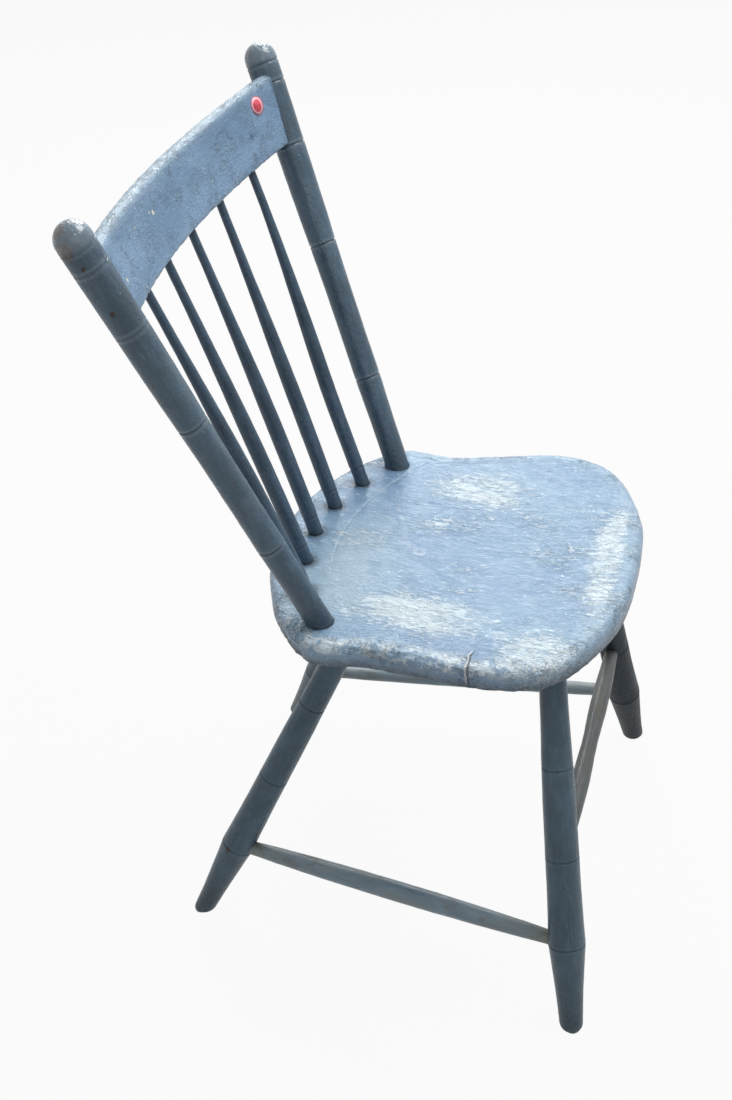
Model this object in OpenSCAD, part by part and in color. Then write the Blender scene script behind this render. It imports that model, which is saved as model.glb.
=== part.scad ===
// Painted spindle-back side chair, old and worn.
// Millimetres. X to the sitter's left, Y to the back, Z up, floor at Z = 0.
// The origin is at the middle of the footprint of the whole chair.

/* [Seat] */
// Height of the seat's top face above the floor
seat_height = 440; // [400:1:480]
// Thickness of the seat plank
seat_thick = 38; // [34:0.5:46]
// Half width at the widest place, near the front
seat_half_front = 201; // [190:1:222]
// Half width at the waist
seat_half_waist = 184; // [176:1:200]
// Half width at the rear corners
seat_half_rear = 189; // [184:1:210]
// Seat from its front edge to the middle of the plan
seat_front_reach = 178; // [165:1:200]
// Seat from the middle of the plan to its back edge
seat_back_reach = 208; // [203:1:230]
// How far the front of the seat stands out of true to one side
seat_skew = 14; // [0:1:18]
// Depth of the hollow in the top
dish_depth = 9; // [2:0.5:11]
// Width of the rolled top edge
seat_roll = 10; // [6:0.5:12]
// Height of the upright band around the edge
seat_band = 13; // [8:0.5:14]
// Width of the bevel under the edge
seat_bevel = 25; // [14:1:30]

/* [Legs] */
// Top of each front leg, in from the seat's widest place
front_leg_in = 87.1; // [72:0.1:105]
// Top of each front leg, behind the seat's front edge
front_leg_back = 65.8; // [55:0.1:80]
// Sideways spread of each front leg, from its top to its foot
front_splay = 125.8; // [100:0.1:145]
// Forward spread of each front leg, from its top to its foot
front_rake = 57.8; // [35:0.1:80]
// Top of each rear leg, in from the seat's rear corner
rear_leg_in = 98.9; // [85:0.1:110]
// Top of each rear leg, in front of the seat's back edge
rear_leg_back = 111.8; // [103:0.1:128]
// Sideways spread of each rear leg, from its top to its foot
rear_splay = 91; // [70:0.1:112]
// Backward spread of each rear leg, from its top to its foot
rear_rake = 184.4; // [150:0.1:200]
// Diameter of a front leg's foot
leg_foot_d = 25.5; // [21:0.5:28]
// Diameter at the lowest groove
leg_swell_d = 40; // [37:0.5:44]
// Diameter at the middle groove
leg_middle_d = 35.6; // [32:0.5:38]
// Diameter at the highest groove
leg_upper_d = 32.6; // [29:0.5:35]
// Diameter of a leg's top, in the seat
leg_top_d = 27.6; // [24:0.5:29]
// Rear legs are this much thinner
rear_leg_less = 2.4; // [0:0.2:4]
// How far a leg goes into the seat
leg_socket = 20; // [14:0.5:23]
// Spacing of a leg's grooves, up from the floor
groove_step = 98; // [88:1:106]

/* [Stretchers] */
// Diameter of every stretcher's end
stretcher_end_d = 15.8; // [13:0.2:18]
// Diameter in the middle of the right side stretcher
side_middle_d = 22.8; // [19:0.2:26]
// Left side stretcher is this much thinner in the middle
side_left_less = 4.4; // [0:0.2:5]
// Diameter of the two swellings of a cross stretcher
cross_swell_d = 20.4; // [18:0.2:24]
// Diameter in the middle of a cross stretcher
cross_middle_d = 17.4; // [15.8:0.2:20]
// How far a stretcher goes into a leg
stretcher_socket = 14; // [10:0.5:16]

/* [Back] */
// Lean of the back, in degrees
back_lean = 20; // [14:0.5:24]
// Post at the seat, in from the waist
post_in = 34.4; // [29:0.1:42]
// Post at the seat, in front of the seat's back edge
post_back = 90.9; // [85:0.1:96]
// Sideways spread of each post, from the seat to its knob
post_splay = 81.6; // [66:0.1:96]
// Height of a post's knob above the seat, along the lean
post_rise = 458.5; // [440:0.5:480]
// Diameter of a post at the seat
post_foot_d = 26.4; // [24:0.2:30]
// Diameter of a post at mid height
post_middle_d = 28.4; // [26:0.2:31]
// Diameter of a post at the crest
post_upper_d = 32.4; // [30:0.2:35]
// Diameter of a post's knob
knob_d = 34; // [32:0.2:38]
// How far a post goes into the seat
post_socket = 24; // [16:0.5:26]

/* [Spindles] */
// Radius of the row of spindles on the seat
spindle_row_r = 250; // [225:1:300]
// Angle between spindles on the seat, in degrees
spindle_row_step = 12.3; // [10.5:0.1:12.5]
// Middle spindle, in front of the seat's back edge
spindle_row_back = 39.6; // [32:0.1:48]
// Spacing of the spindles' tops along the crest
spindle_top_step = 70.2; // [60:0.1:74]
// Diameter of a spindle at the seat
spindle_foot_d = 15.5; // [13:0.1:17]
// Diameter of a spindle's lower half
spindle_body_d = 16.4; // [14:0.1:18]
// Diameter of a spindle's top
spindle_top_d = 8.6; // [7:0.1:10]
// Height of the ring near a spindle's foot
spindle_ring_rise = 21; // [14:0.5:30]
// How far a spindle goes into the seat
spindle_socket = 19; // [12:0.5:22]
// How far a spindle goes into the crest
spindle_crest_socket = 22; // [14:0.5:30]

/* [Crest] */
// Crest's upper edge below the knobs' middles, along the lean
crest_drop = 13; // [4:0.5:30]
// Height of the crest
crest_height = 71.5; // [62:0.5:78]
// Thickness of the crest
crest_thick = 17; // [15:0.2:19]
// Radius of the crest's hollow face
crest_r = 740; // [690:5:900]
// How far the crest's ends stand in front of the middles of the posts
crest_forward = 3.5; // [0:0.5:5]
// Roundness of the crest's upper edges
crest_round = 7; // [3:0.5:7.5]
// Thickness of the crest's tenons
tenon_thick = 10; // [8:0.2:12]
// Diameter of the nails through the tenons
nail_d = 2.6; // [2:0.1:3.2]
// Lower nail above the crest's lower edge; the upper one is half as far from the top
nail_edge = 17; // [14:0.5:22]

/* [Sticker] */
// Diameter of the round price sticker
sticker_d = 19; // [14:0.5:25]
// Sticker's middle, in from the left post's middle
sticker_in = 43.5; // [34:0.5:70]

/* [Joinery] */
// Glue gap all round in a socket
fit = 0.15; // [0.1:0.01:0.2]
// Width of a turned groove
groove_w = 4; // [2:0.2:5]
// Depth of a turned groove
groove_depth = 1.5; // [0.8:0.1:2]

/* [Hidden] */
$fn = 64;

paint_blue = [0.62, 0.69, 0.75];
paint_slate = [0.36, 0.41, 0.49];
paint_mid = [0.48, 0.54, 0.61];
iron = [0.25, 0.2, 0.18];
sticker_red = [0.8, 0.25, 0.25];

// --- frames and small tools ---
// The plan is drawn about the seat; origin_y brings the footprint's middle to Y = 0.
under_z = seat_height - seat_thick;
front_top_x = seat_half_front - front_leg_in;
front_top_y = seat_front_reach - front_leg_back;
front_foot_x = front_top_x + front_splay;
front_foot_y = front_top_y + front_rake;
rear_top_x = seat_half_rear - rear_leg_in;
rear_top_y = seat_back_reach - rear_leg_back;
rear_foot_x = rear_top_x + rear_splay;
rear_foot_y = rear_top_y + rear_rake;
post_base_x = seat_half_waist - post_in;
post_base_y = seat_back_reach - post_back;
post_top_x = post_base_x + post_splay;
spindle_row_y = seat_back_reach - spindle_row_back;
crest_rise = post_rise - crest_drop - crest_height;
crest_mid_r = crest_r + crest_thick/2;
crest_end_x = post_x(crest_rise + crest_height/2);
crest_axis_d = -crest_forward - sqrt(crest_mid_r*crest_mid_r - crest_end_x*crest_end_x);
function foot_spread(r, slope) = r*sqrt(1 + slope*slope);
front_slope = (front_foot_y - front_top_y)/under_z;
rear_slope = (rear_foot_y - rear_top_y)/under_z;
y_front = -max(front_foot_y + foot_spread(leg_foot_d/2, front_slope), seat_front_reach);
knob_y = post_base_y + post_rise*sin(back_lean);
crest_y = post_base_y + (crest_d(0) + crest_thick/2 - crest_round)*cos(back_lean)
    + (crest_rise + crest_height - crest_round)*sin(back_lean);
y_back = max(rear_foot_y + foot_spread((leg_foot_d - rear_leg_less)/2, rear_slope),
    knob_y + knob_d/2, crest_y + crest_round);
origin_y = -(y_front + y_back)/2;

module placed() translate([0, origin_y, 0]) children();

// Turns a part's own Z axis from point a toward point b, and turns the part about it.
module aim(a, b, spin = 0) {
    d = b - a;
    translate(a) rotate([0, acos(d[2]/norm(d)), atan2(d[1], d[0])]) rotate([0, 0, spin]) children();
}

// A turned piece from points of distance along the axis and radius.
module turned(pts) rotate_extrude()
    polygon(concat([[0, pts[0][0]]], [for (p = pts) [p[1], p[0]]], [[0, pts[len(pts) - 1][0]]]));

function groove(s, r) = [[s - groove_w/2, r], [s, r - groove_depth], [s + groove_w/2, r]];
function mix(a, b, t) = a + (b - a)*t;
function ease(t) = t*t*(3 - 2*t);

// --- legs ---
function leg_foot(front, side) = front ? [side*front_foot_x, -front_foot_y, 0]
    : [side*rear_foot_x, rear_foot_y, 0];
function leg_head(front, side) = front ? [side*front_top_x, -front_top_y, under_z]
    : [side*rear_top_x, rear_top_y, under_z];
function leg_at(front, side, z) = mix(leg_foot(front, side), leg_head(front, side), z/under_z);
function leg_len(front) = norm(leg_head(front, 1) - leg_foot(front, 1));

// Distances along a leg stand for heights over the floor, so all grooves line up.
function leg_points(front, over) =
    let (k = leg_len(front)/under_z, less = front ? 0 : rear_leg_less,
        r0 = (leg_foot_d - less)/2, r1 = (leg_swell_d - less)/2, r2 = (leg_middle_d - less)/2,
        r3 = (leg_upper_d - less)/2, r4 = (leg_top_d + (front ? 0 : less) - less)/2,
        g1 = groove_step*k, g2 = 2*g1, g3 = 3*g1, top = under_z*k,
        taper = (mix(r0, r1, pow(1/8, 1.35)) - r0)/(g1/8))
    concat(
        [[-r1, r0 - r1*taper]],
        [for (i = [1:7]) [g1*i/8, mix(r0, r1, pow(i/8, 1.35))]],
        groove(g1, r1),
        [for (t = [0.2, 0.45, 0.7]) [mix(g1, g2, t), mix(r1, r2, 1 - pow(1 - t, 2))]],
        groove(g2, r2),
        [for (t = [0.3, 0.6]) [mix(g2, g3, t), mix(r2, r3, 0.7*t)]],
        groove(g3, r3),
        [for (t = [0.25, 0.5, 0.75]) [mix(g3, top, t), mix(r3, r4, ease(0.5 + t/2)*2 - 1)]],
        [[top, r4], [top + over, r4]]);

module leg_shape(front, side, over, grow = 0)
    aim(leg_foot(front, side), leg_head(front, side), 150)
        turned([for (p = leg_points(front, over)) [p[0], p[1] + grow]]);

module leg(front, side) placed() difference() {
    leg_shape(front, side, leg_socket*leg_len(front)/under_z);
    translate([0, 0, -leg_swell_d]) cube([4*front_foot_x, 4*rear_foot_y, 2*leg_swell_d], center = true);
    if (front) stretcher_hole(cross_a(-1), cross_b(-1), side);
    else stretcher_hole(cross_a(1), cross_b(1), side);
    side_hole(side, front);
}

// --- stretchers ---
side_z = groove_step;
cross_z = 2*groove_step;
function side_a(side) = leg_at(true, side, side_z);
function side_b(side) = leg_at(false, side, side_z);
function cross_a(end) = leg_at(end < 0, -1, cross_z);
function cross_b(end) = leg_at(end < 0, 1, cross_z);

// A stretcher's axis runs from leg axis to leg axis; its ends stop short of them.
function swell_r(front) = (leg_swell_d - (front ? 0 : rear_leg_less))/2;
function middle_r(front) = (leg_middle_d - (front ? 0 : rear_leg_less))/2;
function side_stop(front) = swell_r(front) - stretcher_socket;
function cross_stop(front) = middle_r(front) - stretcher_socket;

module side_hole(side, front) aim(side_a(side), side_b(side)) {
    l = norm(side_b(side) - side_a(side));
    if (front) translate([0, 0, side_stop(true) - 0.5])
        cylinder(d = stretcher_end_d + 2*fit, h = 3*leg_swell_d);
    else translate([0, 0, l - side_stop(false) + 0.5 - 3*leg_swell_d])
        cylinder(d = stretcher_end_d + 2*fit, h = 3*leg_swell_d);
}

module stretcher_hole(a, b, side) aim(a, b) {
    l = norm(b - a);
    front = a[1] < 0;
    if (side < 0) translate([0, 0, cross_stop(front) - 0.5])
        cylinder(d = stretcher_end_d + 2*fit, h = 3*leg_middle_d);
    else translate([0, 0, l - cross_stop(front) + 0.5 - 3*leg_middle_d])
        cylinder(d = stretcher_end_d + 2*fit, h = 3*leg_middle_d);
}

module side_stretcher(side) placed() aim(side_a(side), side_b(side)) {
    l = norm(side_b(side) - side_a(side));
    a = side_stop(true);
    b = l - side_stop(false);
    ra = swell_r(true) + 4;
    rb = l - swell_r(false) - 4;
    e = stretcher_end_d/2;
    m = (side_middle_d - (side > 0 ? side_left_less : 0))/2;
    turned(concat([[a, e], [ra, e]],
        [for (i = [1:11]) [mix(ra, rb, i/12), mix(e, m, pow(sin(180*i/12), 0.75))]],
        [[rb, e], [b, e]]));
}

module cross_stretcher(end) placed() aim(cross_a(end), cross_b(end)) {
    l = norm(cross_b(end) - cross_a(end));
    a = cross_stop(end < 0);
    ra = middle_r(end < 0) + 4;
    e = stretcher_end_d/2;
    s = cross_swell_d/2;
    m = cross_middle_d/2;
    half = [for (t = [0.12, 0.25, 0.38, 0.5, 0.6]) [mix(ra, l/2, t), mix(e, s, sin(90*t/0.6))]];
    waist = [for (t = [0.7, 0.8, 0.9]) [mix(ra, l/2, t), mix(s, m, ease((t - 0.6)/0.4))]];
    one = concat([[a, e], [ra, e]], half, waist);
    turned(concat(one, [[l/2, m]], [for (i = [len(one) - 1:-1:0]) [l - one[i][0], one[i][1]]]));
}

// --- seat ---
// Half of the outline, from the middle of the front edge round to the middle of the back edge.
// Places along the side, from the widest place to the rear corner, keep their shares of its length.
function side_y(along) = mix(112 - seat_front_reach, seat_back_reach - 95, along/179);
half_plan = [[0, -seat_front_reach], [0.39*seat_half_front, 5.5 - seat_front_reach],
    [0.72*seat_half_front, 30 - seat_front_reach], [0.89*seat_half_front, 54 - seat_front_reach],
    [0.965*seat_half_front, 78 - seat_front_reach], [seat_half_front, 112 - seat_front_reach],
    [mix(seat_half_waist, seat_half_front, 0.86), side_y(34)],
    [mix(seat_half_waist, seat_half_front, 0.47), side_y(70)],
    [mix(seat_half_waist, seat_half_front, 0.18), side_y(100)], [seat_half_waist, side_y(130)],
    [mix(seat_half_waist, seat_half_rear, 0.7), side_y(156)], [seat_half_rear, seat_back_reach - 95],
    [0.94*seat_half_rear, seat_back_reach - 75], [0.84*seat_half_rear, seat_back_reach - 57],
    [0.73*seat_half_rear, seat_back_reach - 41], [0.565*seat_half_rear, seat_back_reach - 24],
    [0.33*seat_half_rear, seat_back_reach - 8], [0, seat_back_reach]];
hn = len(half_plan);
full_plan = concat(half_plan, [for (i = [hn - 2:-1:1]) [-half_plan[i][0], half_plan[i][1]]]);
pn = len(full_plan);
sub = 3;
function knot(i) = full_plan[(i + pn) % pn];
function spline(a, b, c, d, t) = 0.5*(2*b + (c - a)*t + (2*a - 5*b + 4*c - d)*t*t
    + (3*b - a - 3*c + d)*t*t*t);
function skewed(p) = [p[0] + seat_skew*ease(min(1, max(0, (seat_half_waist/2 - p[1])/seat_half_waist))),
    p[1]];
plan = [for (i = [0:pn - 1]) for (j = [0:sub - 1])
    skewed(spline(knot(i - 1), knot(i), knot(i + 1), knot(i + 2), j/sub))];
n = len(plan);
function normal(i) = let (d = plan[(i + 1) % n] - plan[(i + n - 1) % n]) [d[1], -d[0]]/norm(d);
function inset(i, w) = plan[i] - normal(i)*w;

// Hollow of the top: deepest a little behind the middle, flat where the back stands.
dish_y = -18;
dish_x = seat_half_waist - 34;
dish_front = seat_front_reach + dish_y - seat_roll;
dish_back = seat_back_reach - dish_y - 114;
function hollow(p) = let (u = p[0]/dish_x, v = (p[1] - dish_y)/(p[1] < dish_y ? dish_front : dish_back),
    q = min(1, sqrt(u*u + v*v))) dish_depth*(1 - ease(q));

band_top = seat_height - seat_roll;
roll_steps = 4;
rings = concat(
    [[seat_bevel, under_z], [0, band_top - seat_band], [0, band_top]],
    [for (k = [1:roll_steps]) let (a = 90*k/roll_steps)
        [seat_roll*(1 - cos(a)), band_top + seat_roll*sin(a)]]);
shares = [0.86, 0.72, 0.58, 0.44, 0.3, 0.15];
seat_mid = [0, dish_y];

function top_point(i, s) = let (q = mix(seat_mid, inset(i, seat_roll), s))
    [q[0], q[1], seat_height - hollow(q)];

module seat_shell() {
    side_pts = [for (r = rings) for (i = [0:n - 1]) let (q = inset(i, r[0])) [q[0], q[1], r[1]]];
    top_pts = [for (s = shares) for (i = [0:n - 1]) top_point(i, s)];
    all_pts = concat(side_pts, top_pts, [[seat_mid[0], seat_mid[1], seat_height - hollow(seat_mid)]]);
    rows = len(rings) + len(shares);
    walls = [for (r = [0:rows - 2]) for (i = [0:n - 1]) let (a = r*n + i, b = r*n + (i + 1) % n)
        each [[a, a + n, b + n], [a, b + n, b]]];
    cap = [for (i = [0:n - 1]) [(rows - 1)*n + i, rows*n, (rows - 1)*n + (i + 1) % n]];
    floor_face = [[for (i = [0:n - 1]) i]];
    polyhedron(all_pts, concat(walls, cap, floor_face), convexity = 6);
}

module seat() placed() difference() {
    seat_shell();
    for (front = [true, false]) for (side = [-1, 1])
        aim(leg_foot(front, side), leg_head(front, side), 150)
            cylinder(d = leg_top_d + 2*fit,
                h = (under_z + leg_socket)*leg_len(front)/under_z + 0.5);
    for (side = [-1, 1]) aim(post_base(side), post_head(side), 70) translate([0, 0, -post_socket - 0.5])
        cylinder(d = post_foot_d + 2*fit, h = post_socket + 60);
    for (i = [-2:2]) aim(spindle_base(i), spindle_head(i), 70) translate([0, 0, -spindle_socket - 0.5])
        cylinder(d = spindle_foot_d + 2*fit, h = spindle_socket + 60);
}

// --- back ---
// Points of the leaning back: across, behind its plane, and up along the lean.
function leaned(x, d, h) = [x, post_base_y + d*cos(back_lean) + h*sin(back_lean),
    seat_height - d*sin(back_lean) + h*cos(back_lean)];
module back_frame() translate([0, post_base_y, seat_height]) rotate([-back_lean, 0, 0]) children();

function post_base(side) = leaned(side*post_base_x, 0, 0);
function post_head(side) = leaned(side*post_top_x, 0, post_rise);
post_len = norm(post_head(1) - post_base(1));
function post_x(h) = mix(post_base_x, post_top_x, h/post_rise);

post_points = let (f = post_foot_d/2, m = post_middle_d/2, u = post_upper_d/2, k = knob_d/2,
    g1 = 0.945*post_len, g2 = 0.804*post_len, g3 = 0.571*post_len, g4 = 0.236*post_len)
    concat([[-post_socket, f], [0.12*post_len, f]],
        groove(g4, m),
        [[mix(g4, g3, 0.3), m - 0.3], [mix(g4, g3, 0.7), m - 0.2]],
        groove(g3, m + 0.4),
        [[mix(g3, g2, 0.3), mix(m, u, 0.6)], [mix(g3, g2, 0.7), mix(m, u, 0.85)]],
        groove(g2, u),
        [[mix(g2, g1, 0.5), mix(u, k, 0.4)]],
        groove(g1, k - 0.2),
        [[post_len - 6.5, k - 0.1], [post_len - 5, k - 1], [post_len - 3.5, k]],
        [for (a = [0:10:80]) [post_len + k*sin(a), k*cos(a)]],
        [[post_len + k, 0.4]]);

module post_shape(side, grow = 0) aim(post_base(side), post_head(side))
    turned([for (p = post_points) [p[0], p[1] + grow]]);

module post(side) placed() difference() {
    post_shape(side);
    back_frame() crest_tenon(fit, 0.5);
    for (h = nail_heights) nail(side, h, fit/2);
}

// --- crest ---
// The crest's middle line meets both post axes at mid height.
tenon_drop = 3;
function crest_d(x) = crest_axis_d + sqrt(crest_mid_r*crest_mid_r - x*x);

module bent(r0, thick, z0, height, reach, round_r) {
    a = asin(reach/crest_mid_r);
    translate([0, crest_axis_d, z0]) rotate([0, 0, 90 - a]) rotate_extrude(angle = 2*a, $fn = 128)
        if (round_r > 0)
            polygon(concat([[r0, 0], [r0 + thick, 0]],
                [for (t = [0:15:90]) [r0 + thick - round_r*(1 - cos(t)), height - round_r*(1 - sin(t))]],
                [for (t = [90:15:180]) [r0 + round_r*(1 + cos(t)), height - round_r*(1 - sin(t))]]));
        else translate([r0, 0]) square([thick, height]);
}

module crest_tenon(gap, end_gap) bent(crest_mid_r - tenon_thick/2 - gap, tenon_thick + 2*gap,
    crest_rise + tenon_drop - gap, crest_height - 2*tenon_drop + 2*gap, crest_end_x + end_gap, 0);

module crest_rail() placed() difference() {
    union() {
        difference() {
            back_frame() bent(crest_r, crest_thick, crest_rise, crest_height, crest_end_x, crest_round);
            for (side = [-1, 1]) post_shape(side, fit);
        }
        back_frame() crest_tenon(0, 0);
    }
    for (i = [-2:2]) aim(spindle_base(i), spindle_head(i))
        translate([0, 0, spindle_len(i) - 60])
            cylinder(d = spindle_top_d + 2*fit, h = 60 + spindle_crest_socket + 0.5);
    for (side = [-1, 1]) for (h = nail_heights) nail(side, h, fit/2);
}

// --- spindles ---
function spindle_base(i) = let (a = i*spindle_row_step)
    [spindle_row_r*sin(a), spindle_row_y - spindle_row_r*(1 - cos(a)), seat_height];
function spindle_head(i) = leaned(i*spindle_top_step, crest_d(i*spindle_top_step), crest_rise);
function spindle_len(i) = norm(spindle_head(i) - spindle_base(i));

module spindle(i) placed() aim(spindle_base(i), spindle_head(i)) {
    l = spindle_len(i);
    f = spindle_foot_d/2;
    b = spindle_body_d/2;
    t = spindle_top_d/2;
    turned(concat([[-spindle_socket, f], [spindle_ring_rise - 4, f], [spindle_ring_rise - 1.5, b + 0.2],
        [spindle_ring_rise, b - 0.9], [spindle_ring_rise + 1.5, b], [0.33*l, b]],
        [for (k = [1:8]) [mix(0.33, 0.98, k/8)*l, mix(b, t, ease(k/8))]],
        [[l + spindle_crest_socket, t]]));
}

// --- nails and sticker ---
// Two nails through the outer side of each post into the crest's tenon.
nail_heights = [crest_rise + nail_edge, crest_rise + crest_height - nail_edge/2];
nail_head_d = 2*nail_d;
nail_head_t = 1;
nail_sink = 0.9;
nail_len = 27;
module nail(side, h, gap = 0) back_frame()
    translate([side*(post_x(h) + post_upper_d/2 - nail_sink), crest_d(crest_end_x), h])
        rotate([0, -side*90, 0]) {
            cylinder(d = nail_d + 2*gap, h = nail_len + 2*gap);
            translate([0, 0, gap > 0 ? -4 : 0]) cylinder(d = nail_head_d + 2*gap,
                h = nail_head_t + (gap > 0 ? gap + 4 : 0));
        }
module crest_nails() placed() for (side = [-1, 1]) for (h = nail_heights) nail(side, h);

// A thin disc that lies on the crest's hollow face.
sticker_x = crest_end_x - sticker_in;
sticker_t = 0.4;
sticker_gap = 0.02;
module price_sticker() placed() intersection() {
    back_frame() bent(crest_r - sticker_gap - sticker_t, sticker_t, crest_rise, crest_height,
        sticker_x + sticker_d, 0);
    back_frame() translate([sticker_x, crest_d(sticker_x) - crest_thick, crest_rise + crest_height - 20])
        rotate([-90, 0, 0]) cylinder(d = sticker_d, h = crest_thick);
}

color(paint_blue) seat();
color(paint_slate) leg(true, -1);  // leg_front_right
color(paint_slate) leg(true, 1);  // leg_front_left
color(paint_slate) leg(false, -1);  // leg_rear_right
color(paint_slate) leg(false, 1);  // leg_rear_left
color(paint_slate) side_stretcher(-1);  // stretcher_right
color(paint_slate) side_stretcher(1);  // stretcher_left
color(paint_slate) cross_stretcher(-1);  // stretcher_front
color(paint_slate) cross_stretcher(1);  // stretcher_rear
color(paint_slate) post(-1);  // post_right
color(paint_slate) post(1);  // post_left
color(paint_mid) crest_rail();
color(paint_slate) spindle(-2);  // spindle_1
color(paint_slate) spindle(-1);  // spindle_2
color(paint_slate) spindle(0);  // spindle_3
color(paint_slate) spindle(1);  // spindle_4
color(paint_slate) spindle(2);  // spindle_5
color(iron) crest_nails();
color(sticker_red) price_sticker();
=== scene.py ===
import bpy, bmesh, math
import numpy as np
from mathutils import Matrix, Vector, noise


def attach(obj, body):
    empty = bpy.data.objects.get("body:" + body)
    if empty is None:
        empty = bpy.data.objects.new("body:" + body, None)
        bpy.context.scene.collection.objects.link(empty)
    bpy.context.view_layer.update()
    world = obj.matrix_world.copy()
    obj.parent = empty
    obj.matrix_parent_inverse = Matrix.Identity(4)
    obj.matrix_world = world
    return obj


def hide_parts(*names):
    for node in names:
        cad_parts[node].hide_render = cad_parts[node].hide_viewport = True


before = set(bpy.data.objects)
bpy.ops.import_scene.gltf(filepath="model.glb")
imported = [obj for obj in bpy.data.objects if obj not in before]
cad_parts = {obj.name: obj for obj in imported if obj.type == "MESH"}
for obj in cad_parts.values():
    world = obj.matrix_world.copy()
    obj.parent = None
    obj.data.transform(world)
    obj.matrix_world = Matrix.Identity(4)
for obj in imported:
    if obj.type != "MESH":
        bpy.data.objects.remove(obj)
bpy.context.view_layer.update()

# Sizes are in millimetres and in the maker's own plan: X across, Y back from the
# middle of the seat plan, Z up from the floor.
MM = 0.001
PLAN_BACK = 60.558
SEAT_TOP, SEAT_UNDER = 440.0, 402.0
SEAT_ROLL, SEAT_BAND, SEAT_BEVEL = 10.0, 13.0, 25.0
BAND_TOP = SEAT_TOP - SEAT_ROLL
HALF_FRONT, HALF_WAIST, HALF_REAR = 201.0, 184.0, 189.0
FRONT_REACH, BACK_REACH, SEAT_SKEW = 178.0, 208.0, 14.0
DISH_BACK, DISH_DEPTH, DISH_HALF, DISH_TO_FRONT, DISH_TO_BACK = -18.0, 9.0, 150.0, 150.0, 112.0
SCRIBE_BACK, SCRIBE_RADIUS = -110.6, 250.0
SPLIT_BACK = -43.0
CUP_ACROSS, CUP_BACK, CUP_RADIUS = -8.3, 50.8, 5.6
LOW_GROOVE, MIDDLE_GROOVE, HIGH_GROOVE = 98.0, 196.0, 294.0
LEG_FRONT, LEG_REAR = (12.75, 20.0, 17.8, 16.3), (11.55, 18.8, 16.6, 15.1)
LEG_TOP = 13.8
STRETCHER_END = 7.9
SPINDLES = range(-2, 3)
LEAN = math.radians(20)
POST_FOOT, POST_FORE, POST_HEAD, POST_RISE = 149.6, 117.1, 231.2, 458.5
SPINDLE_SWELL, SPINDLE_TIP, SPINDLE_GROOVE = 8.2, 4.3, 21.0
SPINDLE_BACK, SPINDLE_ARC, SPINDLE_TURN, SPINDLE_SPACING = 168.4, 250.0, 12.3, 70.2
CREST_LOW, CREST_HIGH, CREST_THICK, CREST_BEND, CREST_ROUND = 374.0, 71.5, 17.0, 740.0, 7.0
CREST_MIDDLE = CREST_BEND + CREST_THICK/2
CREST_TOP = CREST_LOW + CREST_HIGH
STICKER_ACROSS, STICKER_UP, STICKER_RADIUS = 179.0, CREST_TOP - 20, 9.5


def spot(across, back, up):
    return Vector((across, back - PLAN_BACK, up))*MM


def on_back(across, behind, up):
    return spot(across, POST_FORE + behind*math.cos(LEAN) + up*math.sin(LEAN),
                SEAT_TOP - behind*math.sin(LEAN) + up*math.cos(LEAN))


def mix(a, b, t):
    return a + (b - a)*t


def ease(t):
    t = min(1.0, max(0.0, t))
    return t*t*(3 - 2*t)


def bell(distance, width):
    return math.exp(-(distance/width)**2)


def post_across(up):
    return mix(POST_FOOT, POST_HEAD, up/POST_RISE)


CREST_END = post_across(CREST_LOW + CREST_HIGH/2)
CREST_AXIS = -3.5 - math.sqrt(CREST_MIDDLE**2 - CREST_END**2)


def crest_behind(across):
    return CREST_AXIS + math.sqrt(CREST_MIDDLE**2 - across*across)


# ---------------------------------------------------------------- wood and paint surface

def rough(p, size, seed=0.0):
    """Soft lumps between about -1 and 1; p in metres, size in millimetres."""
    return noise.noise(Vector((p.x + seed, p.y - seed, p.z + 2*seed))/(size*MM))


def ridged(p, across, along, seed=0.0):
    """Thin ridges that run along the grain, 0 to 1; p is a grain place."""
    q = Vector((p.x/across, p.y/across, p.z/along))/MM + Vector((seed, 3*seed, -seed))
    return (1 - min(1.0, abs(noise.noise(q))*2.6))**2


def dress(bm, name, material, nodes):
    """Makes the finished piece, in place of its construction nodes."""
    mesh = bpy.data.meshes.new(name)
    for face in bm.faces:
        face.smooth = True
    bm.to_mesh(mesh)
    bm.free()
    mesh.materials.append(material)
    piece = bpy.data.objects.new(name, mesh)
    bpy.context.scene.collection.objects.link(piece)
    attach(piece, "root")
    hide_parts(*nodes)
    return piece


def layers(bm):
    """The three values that the finishes read at each point of a piece."""
    return (bm.verts.layers.float_vector.new("grain"), bm.verts.layers.float.new("dirt_and_shade"),
            bm.verts.layers.float.new("wear_and_highlight"))


def even_line(keys, step, soft):
    """Distances and radii through the key places, evenly spaced and softened."""
    places = np.arange(keys[0][0], keys[-1][0] + step/2, step)
    r = np.interp(places, [k[0] for k in keys], [k[1] for k in keys])
    n = int(soft/step)
    weights = np.hanning(2*n + 3)[1:-1]
    padded = np.concatenate([2*r[0] - r[n:0:-1], r, 2*r[-1] - r[-2:-n - 2:-1]])
    return list(zip(places.tolist(), np.convolve(padded, weights/weights.sum(), "valid").tolist()))


def finer_at(line, places):
    """Puts points close enough together about each place to hold a scored line."""
    for at in places:
        s0, r0 = [s for s, _ in line], [r for _, r in line]
        keep = sorted([s for s in s0 if abs(s - at) > 3.6] + [at + 0.5*i for i in range(-6, 7)])
        line = [(s, float(np.interp(s, s0, r0))) for s in keep]
    return line


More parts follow.
